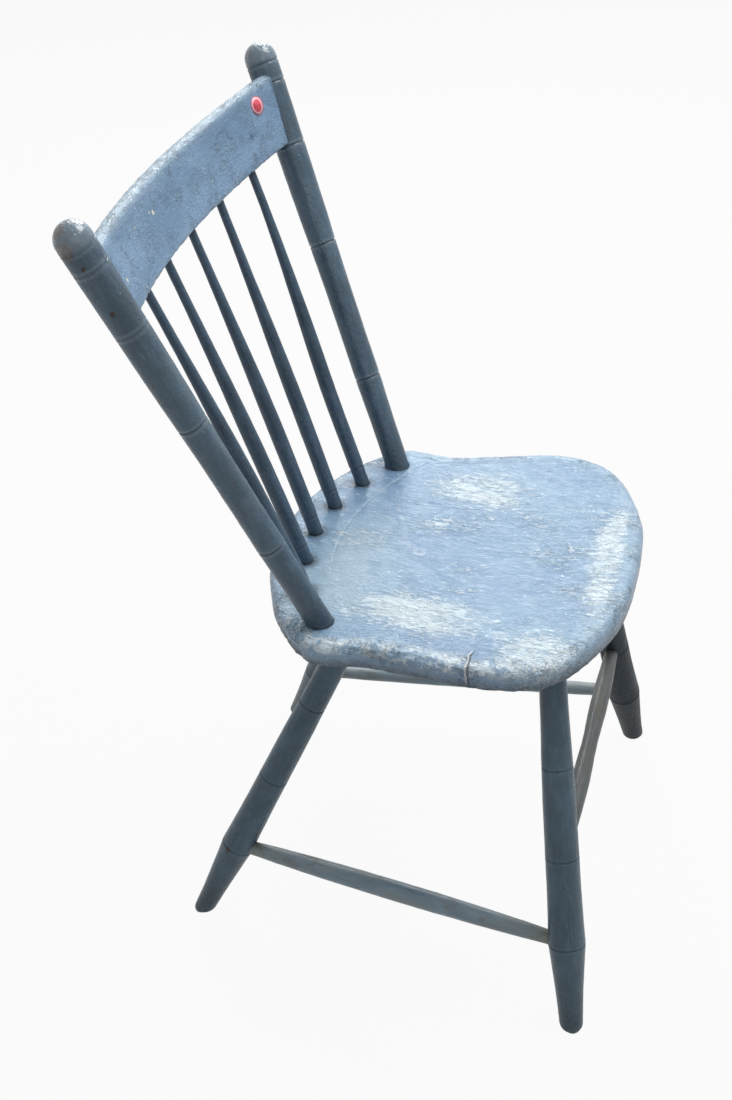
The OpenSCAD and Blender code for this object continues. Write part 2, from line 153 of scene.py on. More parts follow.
def score(bm, marks, places, deep=1.2, wide=0.95, filled=0.25):
    """Scored lines round a turning, part filled with paint on the side that faces -X."""
    grain, dirt_and_shade, wear_and_highlight = marks
    for v in bm.verts:
        s = v[grain].z/MM
        for at in places:
            if abs(s - at) < 9:
                clear = 1 - filled*ease(0.6 - 1.2*v.normal.x) + 0.25*rough(v.co, 11, at)
                cut = deep*clear*bell(s - at, wide) - 0.16*bell(abs(s - at) - 2.2, 0.9)
                v.co -= v.normal*(cut*MM)
                # darker in the line, with a painted highlight on the lip either side
                v[dirt_and_shade] = max(v[dirt_and_shade], 0.75*clear*bell(s - at, 1.0))
                v[wear_and_highlight] = max(v[wear_and_highlight], 0.5*bell(abs(s - at) - 2.8, 1.3))


def turn(line, foot, head, sides=64):
    """Turns an outline of distance and radius about its own axis, then stands it from foot to head.

    The grain place is the piece before it stands, so its Z is the distance from the foot.
    """
    bm = bmesh.new()
    chain = [bm.verts.new((r*MM, 0, s*MM)) for s, r in line]
    edges = [bm.edges.new(pair) for pair in zip(chain, chain[1:])]
    bmesh.ops.spin(bm, geom=chain + edges, cent=(0, 0, 0), axis=(0, 0, 1), angle=2*math.pi,
                   steps=sides, use_merge=True)
    bmesh.ops.remove_doubles(bm, verts=bm.verts, dist=1e-6)
    bmesh.ops.recalc_face_normals(bm, faces=bm.faces)
    grain, dirt_and_shade, wear_and_highlight = layers(bm)
    for v in bm.verts:
        v[grain] = v.co
    stand = Matrix.Translation(foot) @ (head - foot).to_track_quat("Z", "Y").to_matrix().to_4x4()
    bm.transform(stand)
    bm.normal_update()
    return bm, grain, dirt_and_shade, wear_and_highlight


def round_off(line, radius=1.5, steps=4):
    """Closes both ends of an outline with a small rounding down to the axis."""
    (s0, r0), (s1, r1) = line[0], line[-1]
    arcs = [(radius*(1 - math.sin(math.pi/2*i/steps)), radius*(1 - math.cos(math.pi/2*i/steps)))
            for i in range(steps + 1)]
    start = [(s0, 0.0)] + [(s0 + ds, r0 - dr) for ds, dr in reversed(arcs)]
    end = [(s1 - ds, r1 - dr) for ds, dr in arcs] + [(s1, 0.0)]
    body = [(s, r) for s, r in line if s0 + radius < s < s1 - radius]
    return start + body + end


def coat_with_paint(bm, grain, seed, brush=0.10, lump=0.16, fine=0.05):
    """Thick old paint: soft lumps, runs along the grain, and small pits."""
    for v in bm.verts:
        g = v[grain]
        h = lump*rough(v.co, 16, seed) + fine*rough(v.co, 3.5, seed + 5)
        h += brush*(ridged(g, 5, 34, seed) - 0.3)
        v.co += v.normal*(h*MM)


# ---------------------------------------------------------------- seat

PLAN_STEPS = 18
WIDEST, REAR_CORNER = 112 - FRONT_REACH, BACK_REACH - 95


def side_back(along):
    """Places along the side, from the widest place to the rear corner."""
    return mix(WIDEST, REAR_CORNER, along/179)


HALF_PLAN = ([(share*HALF_FRONT, in_from - FRONT_REACH) for share, in_from in
              ((0, 0), (0.39, 5.5), (0.72, 30), (0.89, 54), (0.965, 78), (1, 112))]
             + [(mix(HALF_WAIST, HALF_FRONT, share), side_back(along)) for share, along in
                ((0.86, 34), (0.47, 70), (0.18, 100), (0, 130))]
             + [(mix(HALF_WAIST, HALF_REAR, 0.7), side_back(156))]
             + [(share*HALF_REAR, BACK_REACH - in_from) for share, in_from in
                ((1, 95), (0.94, 75), (0.84, 57), (0.73, 41), (0.565, 24), (0.33, 8), (0, 0))])


def plan_line():
    """The seat's outline: a smooth curve through its points, its front skewed to one side."""
    full = HALF_PLAN + [(-x, y) for x, y in HALF_PLAN[-2:0:-1]]
    n = len(full)
    out = []
    for i in range(n):
        a, b, c, d = (Vector(full[(i + k) % n]) for k in (-1, 0, 1, 2))
        for j in range(PLAN_STEPS):
            t = j/PLAN_STEPS
            p = 0.5*(2*b + (c - a)*t + (2*a - 5*b + 4*c - d)*t*t + (3*b - a - 3*c + d)*t**3)
            p.x += SEAT_SKEW*ease((HALF_WAIST/2 - p.y)/HALF_WAIST)
            out.append(p)
    return out


def hollow(x, y):
    """Depth of the saddle below the seat's top."""
    v = (y - DISH_BACK)/(DISH_TO_FRONT if y < DISH_BACK else DISH_TO_BACK)
    return DISH_DEPTH*(1 - ease(math.sqrt((x/DISH_HALF)**2 + v*v)))


def toward_dish(ring, share, up):
    """A ring drawn in toward the middle of the hollow; up gives its height at each place."""
    return [(x*share, mix(DISH_BACK, y, share), up(x*share, mix(DISH_BACK, y, share))) for x, y, _ in ring]


def scribe_distance(x, y):
    """From the shallow line cut in front of the spindles."""
    return abs(math.hypot(x, y - SCRIBE_BACK) - SCRIBE_RADIUS)


def seat_relief(x, y, z, p, g, depth):
    """Height of the paint skin; depth is the way in from the outline."""
    top = ease((z - 426)/8)
    patch = ease(0.42 + 1.9*noise.noise(Vector((x/48, y/74, 3.1))))
    along = ridged(g, 6.5, 30, 2) + 0.5*ridged(g, 4.2, 18, 7)
    h = top*(0.05 + 0.42*patch)*(along - 0.3)
    h += 0.12*noise.noise(Vector((x/24, y/40, 8.0)))*top
    side = ease((-x - 100)/50)
    rim = ease((z - 414)/6)*ease((27 - depth)/14)
    lumps = 0.9*rough(p, 12, 4) + 0.7*rough(p, 6, 9) + 0.9*(ridged(g, 9, 13, 4) - 0.3)
    h += rim*lumps*mix(0.25, 1.3, side)
    h += top*(1 - side)*0.55*bell(depth - 17, 3.2)*(1 + 0.8*rough(p, 16, 3))
    h += (1 - top)*0.30*rough(p, 11, 1)
    line = bell(scribe_distance(x, y), 1.6)*(1 if y > 60 else 0)*top
    h -= 0.9*line*ease((x + 45)/90)
    h += top*0.30*bell(math.hypot(x - CUP_ACROSS, y - CUP_BACK) - CUP_RADIUS, 1.4)
    return h


def seat_rings():
    """Level rings round the seat, from the middle of its underside, over its edge, to the hollow."""
    plan = plan_line()
    n = len(plan)
    normals = [Vector((d.y, -d.x)).normalized() for d in (plan[(i + 1) % n] - plan[i - 1] for i in range(n))]

    def ring_at(inset, up):
        return [(p.x - out.x*inset, p.y - out.y*inset, up) for p, out in zip(plan, normals)]

    bevel_steps, band_steps, roll_steps, top_steps = 12, 7, 9, 92
    band_low = BAND_TOP - SEAT_BAND
    under = ring_at(SEAT_BEVEL, SEAT_UNDER)
    rings = [toward_dish(under, share, lambda x, y: SEAT_UNDER) for share in (0.12, 0.4, 0.66, 0.84, 0.94)]
    rings.append(under)
    rings += [ring_at(SEAT_BEVEL*k/bevel_steps, mix(band_low, SEAT_UNDER, k/bevel_steps))
              for k in range(bevel_steps - 1, 0, -1)]
    rings += [ring_at(0, band_low + SEAT_BAND*k/band_steps) for k in range(band_steps + 1)]
    for k in range(1, roll_steps + 1):
        a = math.pi/2*k/roll_steps
        rings.append(ring_at(SEAT_ROLL*(1 - math.cos(a)), BAND_TOP + SEAT_ROLL*math.sin(a)))
    inner = ring_at(SEAT_ROLL, SEAT_TOP)
    rings += [toward_dish(inner, 1 - k/top_steps, lambda x, y: SEAT_TOP - hollow(x, y))
              for k in range(1, top_steps)]
    return plan, rings


def loft(bm, plan, rings, inward):
    """Extrudes the first ring up through the others; inward keeps each point's way in from the outline."""
    loop = [bm.verts.new(spot(*c)) for c in rings[0]]
    edges = [bm.edges.new((v, loop[(i + 1) % len(loop)])) for i, v in enumerate(loop)]
    bmesh.ops.poke(bm, faces=bmesh.ops.contextual_create(bm, geom=edges)["faces"])
    for ring in rings[1:]:
        made = bmesh.ops.extrude_edge_only(bm, edges=edges)["geom"]
        fresh = {v for v in made if isinstance(v, bmesh.types.BMVert)}
        edges = [e for e in made if isinstance(e, bmesh.types.BMEdge) and fresh.issuperset(e.verts)]
        loop = [next(e.other_vert(v) for e in v.link_edges if e.other_vert(v) in fresh) for v in loop]
        for v, c, border in zip(loop, ring, plan):
            v.co = spot(*c)
            v[inward] = math.hypot(c[0] - border.x, c[1] - border.y)
    bmesh.ops.poke(bm, faces=bmesh.ops.contextual_create(bm, geom=edges)["faces"])
    bmesh.ops.recalc_face_normals(bm, faces=bm.faces)
    bm.normal_update()


def make_seat(material):
    bm = bmesh.new()
    grain, dirt_and_shade, wear_and_highlight = layers(bm)
    loft(bm, *seat_rings(), wear_and_highlight)
    feet = [spot(side*POST_FOOT, POST_FORE, SEAT_TOP) for side in (-1, 1)]
    feet += [spindle_foot(i) for i in SPINDLES]
    for v in bm.verts:
        p = v.co
        x, y, z = p.x/MM, p.y/MM + PLAN_BACK, p.z/MM
        v[grain] = Vector((p.x, p.z, p.y))
        depth = v[wear_and_highlight]
        rim = ease((z - 414)/6)*ease((24 - depth)/14)
        near_edge = rim*ease((-x - 100)/60)
        # the rim value also lays a painted highlight along the rim in the finish
        v[wear_and_highlight] = rim
        # painted shade: the edge's lower band and the underside grow darker downwards
        v[dirt_and_shade] = 0.9*ease((431 - z)/13)
        close = min((p.xy - f.xy).length for f in feet)/MM
        # painted shade round the feet of the posts and spindles
        if z > BAND_TOP:
            v[dirt_and_shade] = max(v[dirt_and_shade], 0.9*bell(max(0, close - 9), 5))
        h = seat_relief(x, y, z, p, v[grain], depth)
        crack = bell(y - SPLIT_BACK + 1 + 1.5*math.sin(z/3.0), 1.7)*ease((-x - 155)/8)*ease((z - 418)/5)
        h += 1.3*bell(y - SPLIT_BACK - 2, 2.6)*ease((-x - 160)/8)*ease((z - 418)/5) - 1.2*crack
        h += 1.1*near_edge*bell(z - 432, 5)*max(0.0, noise.noise(Vector((0, y/17, 4.4))))
        if close > 1:
            v.co += v.normal*(h*MM)
    return dress(bm, "seat_board", material, ["seat"])


# ---------------------------------------------------------------- legs and stretchers

def leg_foot(front, side):
    return spot(side*239.7, -170, 0) if front else spot(side*181.1, 280.6, 0)


def leg_head(front, side):
    return spot(side*113.9, -112.2, SEAT_UNDER) if front else spot(side*90.1, 96.2, SEAT_UNDER)


def leg_at(front, side, up):
    return leg_foot(front, side).lerp(leg_head(front, side), up/SEAT_UNDER)


def make_leg(name, front, side, seed, material, soil_and_shade=0.0):
    foot, head = leg_foot(front, side), leg_head(front, side)
    ankle, low, middle, high = LEG_FRONT if front else LEG_REAR
    longer = (head - foot).length/MM/SEAT_UNDER
    grooves = [up*longer for up in (LOW_GROOVE, MIDDLE_GROOVE, HIGH_GROOVE)]
    g0, g1, g2 = grooves
    top = SEAT_UNDER*longer
    keys = [(-24, ankle - 1.2)] + [(g0*i/8, mix(ankle, low, (i/8)**1.35)) for i in range(8)] + [(g0, low)]
    keys += [(mix(g0, g1, t), mix(low, middle, 1 - (1 - t)**2)) for t in (0.2, 0.45, 0.7)] + [(g1, middle)]
    keys += [(mix(g1, g2, t), mix(middle, high, 0.7*t)) for t in (0.3, 0.6)] + [(g2, high)]
    keys += [(mix(g2, top, t), mix(high, LEG_TOP, ease(0.5 + t/2)*2 - 1)) for t in (0.25, 0.5, 0.75)]
    keys += [(top, LEG_TOP), ((SEAT_UNDER + 14)*longer, LEG_TOP)]
    line = finer_at(even_line(keys, 1.6, 6), grooves)
    bm, *marks = turn([(line[0][0], 0.0)] + line + [(line[-1][0], 0.0)], foot, head)
    grain, dirt_and_shade, wear_and_highlight = marks
    score(bm, marks, grooves)
    coat_with_paint(bm, grain, seed)
    bmesh.ops.bisect_plane(bm, geom=bm.verts[:] + bm.edges[:] + bm.faces[:], dist=1e-6, plane_co=(0, 0, 0),
                           plane_no=(0, 0, 1), clear_inner=True)
    sole = bmesh.ops.contextual_create(bm, geom=[e for e in bm.edges if e.is_boundary])["faces"]
    bmesh.ops.inset_region(bm, faces=sole, thickness=2*MM, depth=0)
    axis = (head - foot).normalized()
    for v in bm.verts:
        up = v.co.z/MM
        if up < 5 and (v.co.xy - foot.xy).length > 4*MM:
            worn = (1 - up/5)**2*(2.6 + 1.6*rough(v.co, 9, seed))
            out = (v.co - foot) - axis*((v.co - foot).dot(axis))
            out.z = 0
            v.co -= out.normalized()*worn*MM
        # soil_and_shade darkens the whole leg evenly
        v[dirt_and_shade] = max(v[dirt_and_shade], 0.8*bell(top - v[grain].z/MM, 5), 0.6*bell(up, 55), soil_and_shade)
        v[wear_and_highlight] = max(v[wear_and_highlight], bell(up, 9))
    bmesh.ops.recalc_face_normals(bm, faces=bm.faces)
    return dress(bm, name, material, [name])


def make_stretcher(name, a, b, ra, rb, keys, seed, material, soil_and_shade=0.0):
    """Stands between two leg axes; ra and rb are the legs' radii there."""
    length = (b - a).length/MM
    line = even_line(keys(length, ra, rb), 2.0, 8)
    bm, grain, dirt_and_shade, wear_and_highlight = turn(round_off(line, 1.0), a, b, 40)
    coat_with_paint(bm, grain, seed, brush=0.16, lump=0.20)
    for v in bm.verts:
        s = v[grain].z/MM
        end = max(0, min(s - ra, length - rb - s))
        # dirt towards the ends; soil_and_shade darkens the whole stretcher evenly
        v[dirt_and_shade] = max(0.95*bell(end, 26), 0.5*bell(end, 80), soil_and_shade)
        v[wear_and_highlight] = ease(v.normal.z)
    return dress(bm, name, material, [name])


def side_keys(middle):
    """A long swell, with its thickest place of the given radius."""
    def keys(length, ra, rb):
        lo, hi = ra + 4, length - rb - 4
        swell = [(mix(lo, hi, i/12), mix(STRETCHER_END, middle, math.sin(math.pi*i/12)**0.75))
                 for i in range(1, 12)]
        return ([(ra - 10, STRETCHER_END), (lo, STRETCHER_END)] + swell
                + [(hi, STRETCHER_END), (length - rb + 10, STRETCHER_END)])
    return keys


def cross_keys(length, ra, rb):
    """Two swells with a slimmer middle, the same from either end."""
    lo, middle, swell, waist, peak = ra + 4, length/2, 10.2, 8.7, 0.6
    half = [(ra - 10, STRETCHER_END), (lo, STRETCHER_END)]
    half += [(mix(lo, middle, t), mix(STRETCHER_END, swell, math.sin(math.pi/2*t/peak)))
             for t in (0.12, 0.25, 0.38, 0.5, peak)]
    half += [(mix(lo, middle, t), mix(swell, waist, ease((t - peak)/(1 - peak)))) for t in (0.7, 0.8, 0.9)]
    return half + [(middle, waist)] + [(length - s, r) for s, r in reversed(half)]


# ---------------------------------------------------------------- back

def spindle_foot(i):
    a = math.radians(i*SPINDLE_TURN)
    return spot(SPINDLE_ARC*math.sin(a), SPINDLE_BACK - SPINDLE_ARC*(1 - math.cos(a)), SEAT_TOP)


def spindle_head(i):
    return on_back(i*SPINDLE_SPACING, crest_behind(i*SPINDLE_SPACING), CREST_LOW)


def collar(bm, reach=0.8):
    """Paint that has built up where a turned piece stands on the seat."""
    for v in bm.verts:
        up = v.co.z/MM - SEAT_TOP
        v.co += v.normal*(reach*bell(up - 0.3, 1.6)*MM)


def make_post(side, seed, material):
    foot, head = on_back(side*POST_FOOT, 0, 0), on_back(side*POST_HEAD, 0, POST_RISE)
    length = (head - foot).length/MM
    low, middle, upper, knob = 13.2, 14.2, 16.2, 17.0
    grooves = [t*length for t in (0.236, 0.571, 0.804, 0.945)]
    g0, g1, g2, g3 = grooves
    neck = length - 5
    keys = [(-14, low), (0.12*length, low), (g0, middle), (mix(g0, g1, 0.3), middle - 0.3),
            (mix(g0, g1, 0.7), middle - 0.2), (g1, middle + 0.4), (mix(g1, g2, 0.3), mix(middle, upper, 0.6)),
            (mix(g1, g2, 0.7), mix(middle, upper, 0.85)), (g2, upper),
            (mix(g2, g3, 0.5), mix(upper, knob, 0.4)), (g3, knob - 0.2), (length - 1, knob)]
    line = finer_at(even_line(keys, 1.6, 6), grooves + [neck])
    line = [p for p in line if p[0] < length - 0.5]
    dome = [math.radians(a) for a in range(0, 88, 4)]
    line += [(length + knob*math.sin(a), knob*math.cos(a)) for a in dome]
    line += [(length + knob, 0.0)]
    bm, *marks = turn([(line[0][0], 0.0)] + line, foot, head)
    grain, dirt_and_shade, wear_and_highlight = marks
    score(bm, marks, grooves[:2])
    score(bm, marks, grooves[2:] + [neck], 1.0, 0.9, 0.3 if side > 0 else 0.95)
    coat_with_paint(bm, grain, seed)
    collar(bm)
    for v in bm.verts:
        above = v.co.z/MM - SEAT_TOP
        # a dark joint where the post meets the seat, and painted shade over the post's lowest part
        v[dirt_and_shade] = max(v[dirt_and_shade], 0.9*bell(above, 4), 0.5*bell(above, 60))
        v[wear_and_highlight] = max(v[wear_and_highlight], ease((v[grain].z/MM - length + 8)/10))
    name = "post_left" if side > 0 else "post_right"
    return dress(bm, name, material, [name])


# How far each spindle bows forward, and where along it
BOWS = {-2: (2.6, 0.5), -1: (2.0, 0.5), 0: (2.6, 0.5), 1: (1.0, 0.5), 2: (1.4, 0.8)}


def make_spindle(i, seed, material):
    foot, head = spindle_foot(i), spindle_head(i)
    length = (head - foot).length/MM
    foot_radius, swell_to, tip_from = 7.75, 0.33, 0.98
    keys = [(-10, foot_radius), (17, foot_radius), (19.5, 8.3), (SPINDLE_GROOVE, 7.7), (23, SPINDLE_SWELL),
            (swell_to*length, SPINDLE_SWELL)]
    keys += [(mix(swell_to, tip_from, j/8)*length, mix(SPINDLE_SWELL, SPINDLE_TIP, ease(j/8)))
             for j in range(1, 9)]
    keys += [(length + 8, SPINDLE_TIP)]
    line = finer_at(even_line(keys, 1.8, 3), [SPINDLE_GROOVE])
    bm, *marks = turn(round_off(line, 0.8), foot, head, 40)
    grain, dirt_and_shade, wear_and_highlight = marks
    score(bm, marks, [SPINDLE_GROOVE], 0.6)
    coat_with_paint(bm, grain, seed, brush=0.07, lump=0.12)
    collar(bm, 0.5)
    bow, peak = BOWS[i]
    for v in bm.verts:
        s = v[grain].z/MM
        t = min(1.0, max(0.0, s/length))
        bend = bow*math.sin(math.pi*t**(math.log(0.5)/math.log(peak)))
        if i == 2:
            bend -= 1.3*bell(t - 0.3, 0.18)
        v.co.y -= bend*MM
        v[dirt_and_shade] = max(v[dirt_and_shade], 0.95*bell(v.co.z/MM - SEAT_TOP, 3.5), 0.8*bell(s - length, 5))
    name = f"spindle_{i + 3}"
    return dress(bm, name, material, [name])


def crest_section():
    """The board's end, from its lower hollow edge round to the upper one, as radius and height."""
    r0, r1 = CREST_BEND, CREST_BEND + CREST_THICK
    small, big, face_steps = 1.6, CREST_ROUND, 30
    arc = [math.radians(a) for a in range(0, 91, 18)]
    section = [(r0 + small*(1 - math.sin(a)), CREST_LOW + small*(1 - math.cos(a))) for a in reversed(arc)]
    section += [(r1 - small*(1 - math.sin(a)), CREST_LOW + small*(1 - math.cos(a))) for a in arc]
    section += [(r1, mix(CREST_LOW + small, CREST_TOP - big, t/face_steps)) for t in range(1, face_steps)]
    section += [(r1 - big*(1 - math.cos(a)), CREST_TOP - big*(1 - math.sin(a))) for a in arc]
    section += [(r0 + big*(1 - math.cos(a)), CREST_TOP - big*(1 - math.sin(a))) for a in reversed(arc)]
    section += [(r0, mix(CREST_TOP - big, CREST_LOW + small, t/face_steps)) for t in range(1, face_steps)]
    return section


def make_crest(material):
    """A bent board with softly rounded upper edges, let into both posts."""
    half = math.asin((CREST_END + 1)/CREST_MIDDLE)
    bm = bmesh.new()
    start = Matrix.Rotation(math.pi/2 - half, 4, "Z")
    loop = [bm.verts.new(start @ Vector((r, 0, z))) for r, z in crest_section()]
    for i, v in enumerate(loop):
        bm.edges.new((loop[i - 1], v))
    bmesh.ops.remove_doubles(bm, verts=bm.verts, dist=0.01)
    edges = bm.edges[:]
    bmesh.ops.contextual_create(bm, geom=edges)
    swept = bmesh.ops.spin(bm, geom=edges, cent=(0, 0, 0), axis=(0, 0, 1), angle=2*half, steps=230)
    last = [e for e in swept["geom_last"] if isinstance(e, bmesh.types.BMEdge)]
    bmesh.ops.contextual_create(bm, geom=last)
    bmesh.ops.recalc_face_normals(bm, faces=bm.faces)
    grain, dirt_and_shade, wear_and_highlight = layers(bm)
    for v in bm.verts:
        across, behind, up = v.co.x, v.co.y + CREST_AXIS, v.co.z
        arc_at = math.atan2(v.co.x, v.co.y)*CREST_MIDDLE
        v[grain] = Vector((up, math.hypot(v.co.x, v.co.y) - CREST_BEND, arc_at))*MM
        v.co = on_back(across, behind, up)
    bm.normal_update()
    for v in bm.verts:
        g = v[grain]/MM
        edge_low, edge_high = g.x - CREST_LOW, CREST_TOP - g.x
        skirt = bell(edge_high, 7) + bell(edge_low, 3)
        slant = Vector((v[grain].x + 0.5*v[grain].z, v[grain].y, v[grain].z))
        h = 0.22*rough(v.co, 19, 2) + 0.12*rough(v.co, 6, 3) + 0.16*(ridged(v[grain], 4.4, 40, 3) - 0.3)
        h += 0.30*max(0.0, ridged(slant, 8, 26, 5) - 0.55) + 0.45*skirt*rough(v.co, 7, 6)
        from_sticker = math.hypot(v.co.x/MM - STICKER_ACROSS, g.x - STICKER_UP)
        v.co += v.normal*(h*ease((from_sticker - STICKER_RADIUS)/5)*MM)
        end = CREST_END - 11 - abs(v.co.x)/MM
        # worn paint and a painted highlight along the top edge
        v[wear_and_highlight] = min(1.0, bell(edge_high, 6) + 0.5*bell(edge_low, 2.5))
        v[dirt_and_shade] = max(0.8*bell(end, 2.2), 0.35*bell(edge_low, 3))
    return dress(bm, "crest_board", material, ["crest_rail"])


def make_nails(material):
    """Two nails through the outer side of each post, heads sunk in the paint."""
    bm = bmesh.new()
    for side in (-1, 1):
        for up, tilt in ((CREST_LOW + 17, 0.10), (CREST_TOP - 8.5, -0.08)):
            made = bmesh.ops.create_cone(bm, cap_ends=True, cap_tris=False, segments=28, radius1=2.6*MM,
                                         radius2=2.3*MM, depth=1.1*MM)["verts"]
            faces = {f for v in made for f in v.link_faces}
            top = max(faces, key=lambda f: f.calc_center_median().z)
            sunk = bmesh.ops.inset_region(bm, faces=[top], thickness=0.7*MM, depth=0.18*MM)
            bmesh.ops.inset_region(bm, faces=[top], thickness=0.7*MM, depth=0.06*MM)
            shank = bmesh.ops.create_cone(bm, cap_ends=True, segments=20, radius1=1.3*MM, radius2=1.3*MM,
                                          depth=20*MM)["verts"]
            bmesh.ops.translate(bm, verts=shank, vec=(0, 0, -10.4*MM))
            group = list({v for f in faces for v in f.verts} | {v for f in sunk["faces"] for v in f.verts}
                         | set(top.verts) | set(shank))
            at = on_back(side*(post_across(up) + 16.25), crest_behind(CREST_END), up)
            turned = Matrix.Rotation(side*math.pi/2, 4, "Y") @ Matrix.Rotation(tilt, 4, "X")
            bmesh.ops.transform(bm, verts=group, matrix=Matrix.Translation(at) @ turned)
    rims = [e for e in bm.edges if e.is_manifold and e.calc_face_angle(0) > 0.7 and e.calc_length() < 0.9*MM]
    bmesh.ops.bevel(bm, geom=rims, offset=0.25*MM, segments=3, profile=0.5, affect="EDGES", material=-1)
    bmesh.ops.recalc_face_normals(bm, faces=bm.faces)
    grain = layers(bm)[0]
    for v in bm.verts:
        v.co += v.normal*(0.10*rough(v.co, 1.4, 2)*MM)
        v[grain] = v.co
    return dress(bm, "nail_heads", material, ["crest_nails"])


def make_sticker(material):
    """A round paper price sticker on the hollow face of the crest, one edge lifting a little."""
    bm = bmesh.new()
    bmesh.ops.create_circle(bm, cap_ends=True, segments=72, radius=STICKER_RADIUS)
    disc = bm.faces[:]
    for _ in range(9):
        bmesh.ops.inset_region(bm, faces=disc, thickness=STICKER_RADIUS/10, depth=0)
    bmesh.ops.poke(bm, faces=disc)
    grain = layers(bm)[0]
    for v in bm.verts:
        x, h = v.co.x, v.co.y
        across = STICKER_ACROSS + x
        lift = 0.10 + 0.45*ease((-h - x - 9)/5) + 0.03*noise.noise(Vector((x/3, h/3, 0)))
        face = CREST_AXIS + math.sqrt((CREST_BEND - lift)**2 - across*across)
        v.co = on_back(across, face, STICKER_UP + h)
    bmesh.ops.recalc_face_normals(bm, faces=bm.faces)
    bmesh.ops.solidify(bm, geom=bm.faces[:], thickness=0.12*MM)
    bmesh.ops.recalc_face_normals(bm, faces=bm.faces)
    middle = on_back(STICKER_ACROSS, crest_behind(STICKER_ACROSS) - CREST_THICK/2, STICKER_UP)
    for v in bm.verts:
        off = v.co - middle
        v[grain] = Vector((off.x*1.03, off.y*math.sin(LEAN) + off.z*math.cos(LEAN), 0))
    return dress(bm, "round_price_sticker", material, ["price_sticker"])


# ---------------------------------------------------------------- finishes

def colour(r, g, b):
    """A colour as it looks, 0 to 255, turned to linear light."""
    def lin(c):
        c = c/255
        return c/12.92 if c <= 0.04045 else ((c + 0.055)/1.055)**2.4
    return (lin(r), lin(g), lin(b), 1.0)


class Bench:
    """Lays out nodes in one tree."""

    def __init__(self, tree):
        self.tree = tree

    def feed(self, node, inputs):
        """Links each input that is a socket, and sets each that is a plain value."""
        for key, value in inputs.items():
            if isinstance(value, bpy.types.NodeSocket):
                self.tree.links.new(value, node.inputs[key])
            else:
                node.inputs[key].default_value = value
        return node

    def add(self, kind, inputs=None, **settings):
        node = self.tree.nodes.new(kind)
        for key, value in settings.items():
            setattr(node, key, value)
        return self.feed(node, inputs or {})

    def reckon(self, op, a, b=0.0, clamp=False):
        return self.add("ShaderNodeMath", {0: a, 1: b}, operation=op, use_clamp=clamp).outputs[0]

    def times(self, first, *others):
        for value in others:
            first = self.reckon("MULTIPLY", first, value)
        return first

    def most(self, first, *others):
        for value in others:
            first = self.reckon("MAXIMUM", first, value)
        return first

    def plus(self, a, b, clamp=False):
        return self.reckon("ADD", a, b, clamp)

    def less(self, a, b, clamp=False):
        return self.reckon("SUBTRACT", a, b, clamp)

    def apart(self, a, b=0.0):
        """How far two values are from each other."""
        return self.reckon("ABSOLUTE", self.less(a, b))

    def total(self, *parts):
        """Adds values, each with its own share."""
        first, *others = [self.times(value, share) for value, share in parts]
        for term in others:
            first = self.plus(first, term)
        return first

    def move(self, op, a, b=(0, 0, 0)):
        node = self.add("ShaderNodeVectorMath", {0: a, 1: b}, operation=op)
        return node.outputs["Value" if op in ("DISTANCE", "LENGTH") else "Vector"]

    def span(self, value, lo, hi, to_lo=0.0, to_hi=1.0):
        """Eases from one value to another while the first runs from lo to hi."""
        return self.add("ShaderNodeMapRange", {"Value": value, "From Min": lo, "From Max": hi,
                                               "To Min": to_lo, "To Max": to_hi},
                        interpolation_type="SMOOTHSTEP").outputs[0]

    def blend(self, share, a, b):
        return self.feed(self.add("ShaderNodeMix", data_type="RGBA"), {0: share, 6: a, 7: b}).outputs[2]

    def cloud(self, place, scale, detail=3.0, rough_=0.5, warp=0.0):
        return self.add("ShaderNodeTexNoise", {"Vector": place, "Scale": scale, "Detail": detail,
                                               "Roughness": rough_, "Distortion": warp}).outputs["Fac"]

    def bend(self, place, scale, detail, reach, start=None):
        """Shifts a place by a coloured cloud, reach far each way."""
        shift = self.add("ShaderNodeTexNoise", {"Vector": place, "Scale": scale, "Detail": detail})
        start = place if start is None else start
        return self.add("ShaderNodeVectorMath", {0: shift.outputs["Color"], 1: reach, 2: start},
                        operation="MULTIPLY_ADD").outputs[0]

    def stretch(self, place, scale, at=(0, 0, 0)):
        return self.add("ShaderNodeMapping", {"Vector": place, "Scale": scale, "Location": at}).outputs[0]

    def give(self, out, **results):
        """Sends results out of a node group."""
        self.feed(out, results)


def effect(name, inputs, outputs):
    """An empty shader node group with named inputs and outputs."""
    group = bpy.data.node_groups.new(name, "ShaderNodeTree")
    for key, kind, default in inputs:
        socket = group.interface.new_socket(key, in_out="INPUT", socket_type=kind)
        if default is not None:
            socket.default_value = default
    for key, kind in outputs:
        group.interface.new_socket(key, in_out="OUTPUT", socket_type=kind)
    bench = Bench(group)
    return group, bench, bench.add("NodeGroupInput").outputs, bench.add("NodeGroupOutput")


VEC, NUM = "NodeSocketVector", "NodeSocketFloat"


def brushed_paint_effect():
    """Brush marks and runs along the grain, with a fine orange peel."""
    group, b, i, out = effect("Brushed thick paint", [("Grain", VEC, None)],
                              [("Height", NUM), ("Streaks", NUM)])
    strokes = b.cloud(b.stretch(i["Grain"], (420, 420, 46)), 1.0, 4, 0.6, 0.4)
    wide = b.cloud(b.stretch(i["Grain"], (120, 120, 16)), 1.0, 3, 0.55, 0.8)
    peel = b.cloud(i["Grain"], 900, 2, 0.5)
    b.give(out, Height=b.total((strokes, 0.5), (peel, 0.22)), Streaks=b.times(b.plus(strokes, wide), 0.5))
    return group


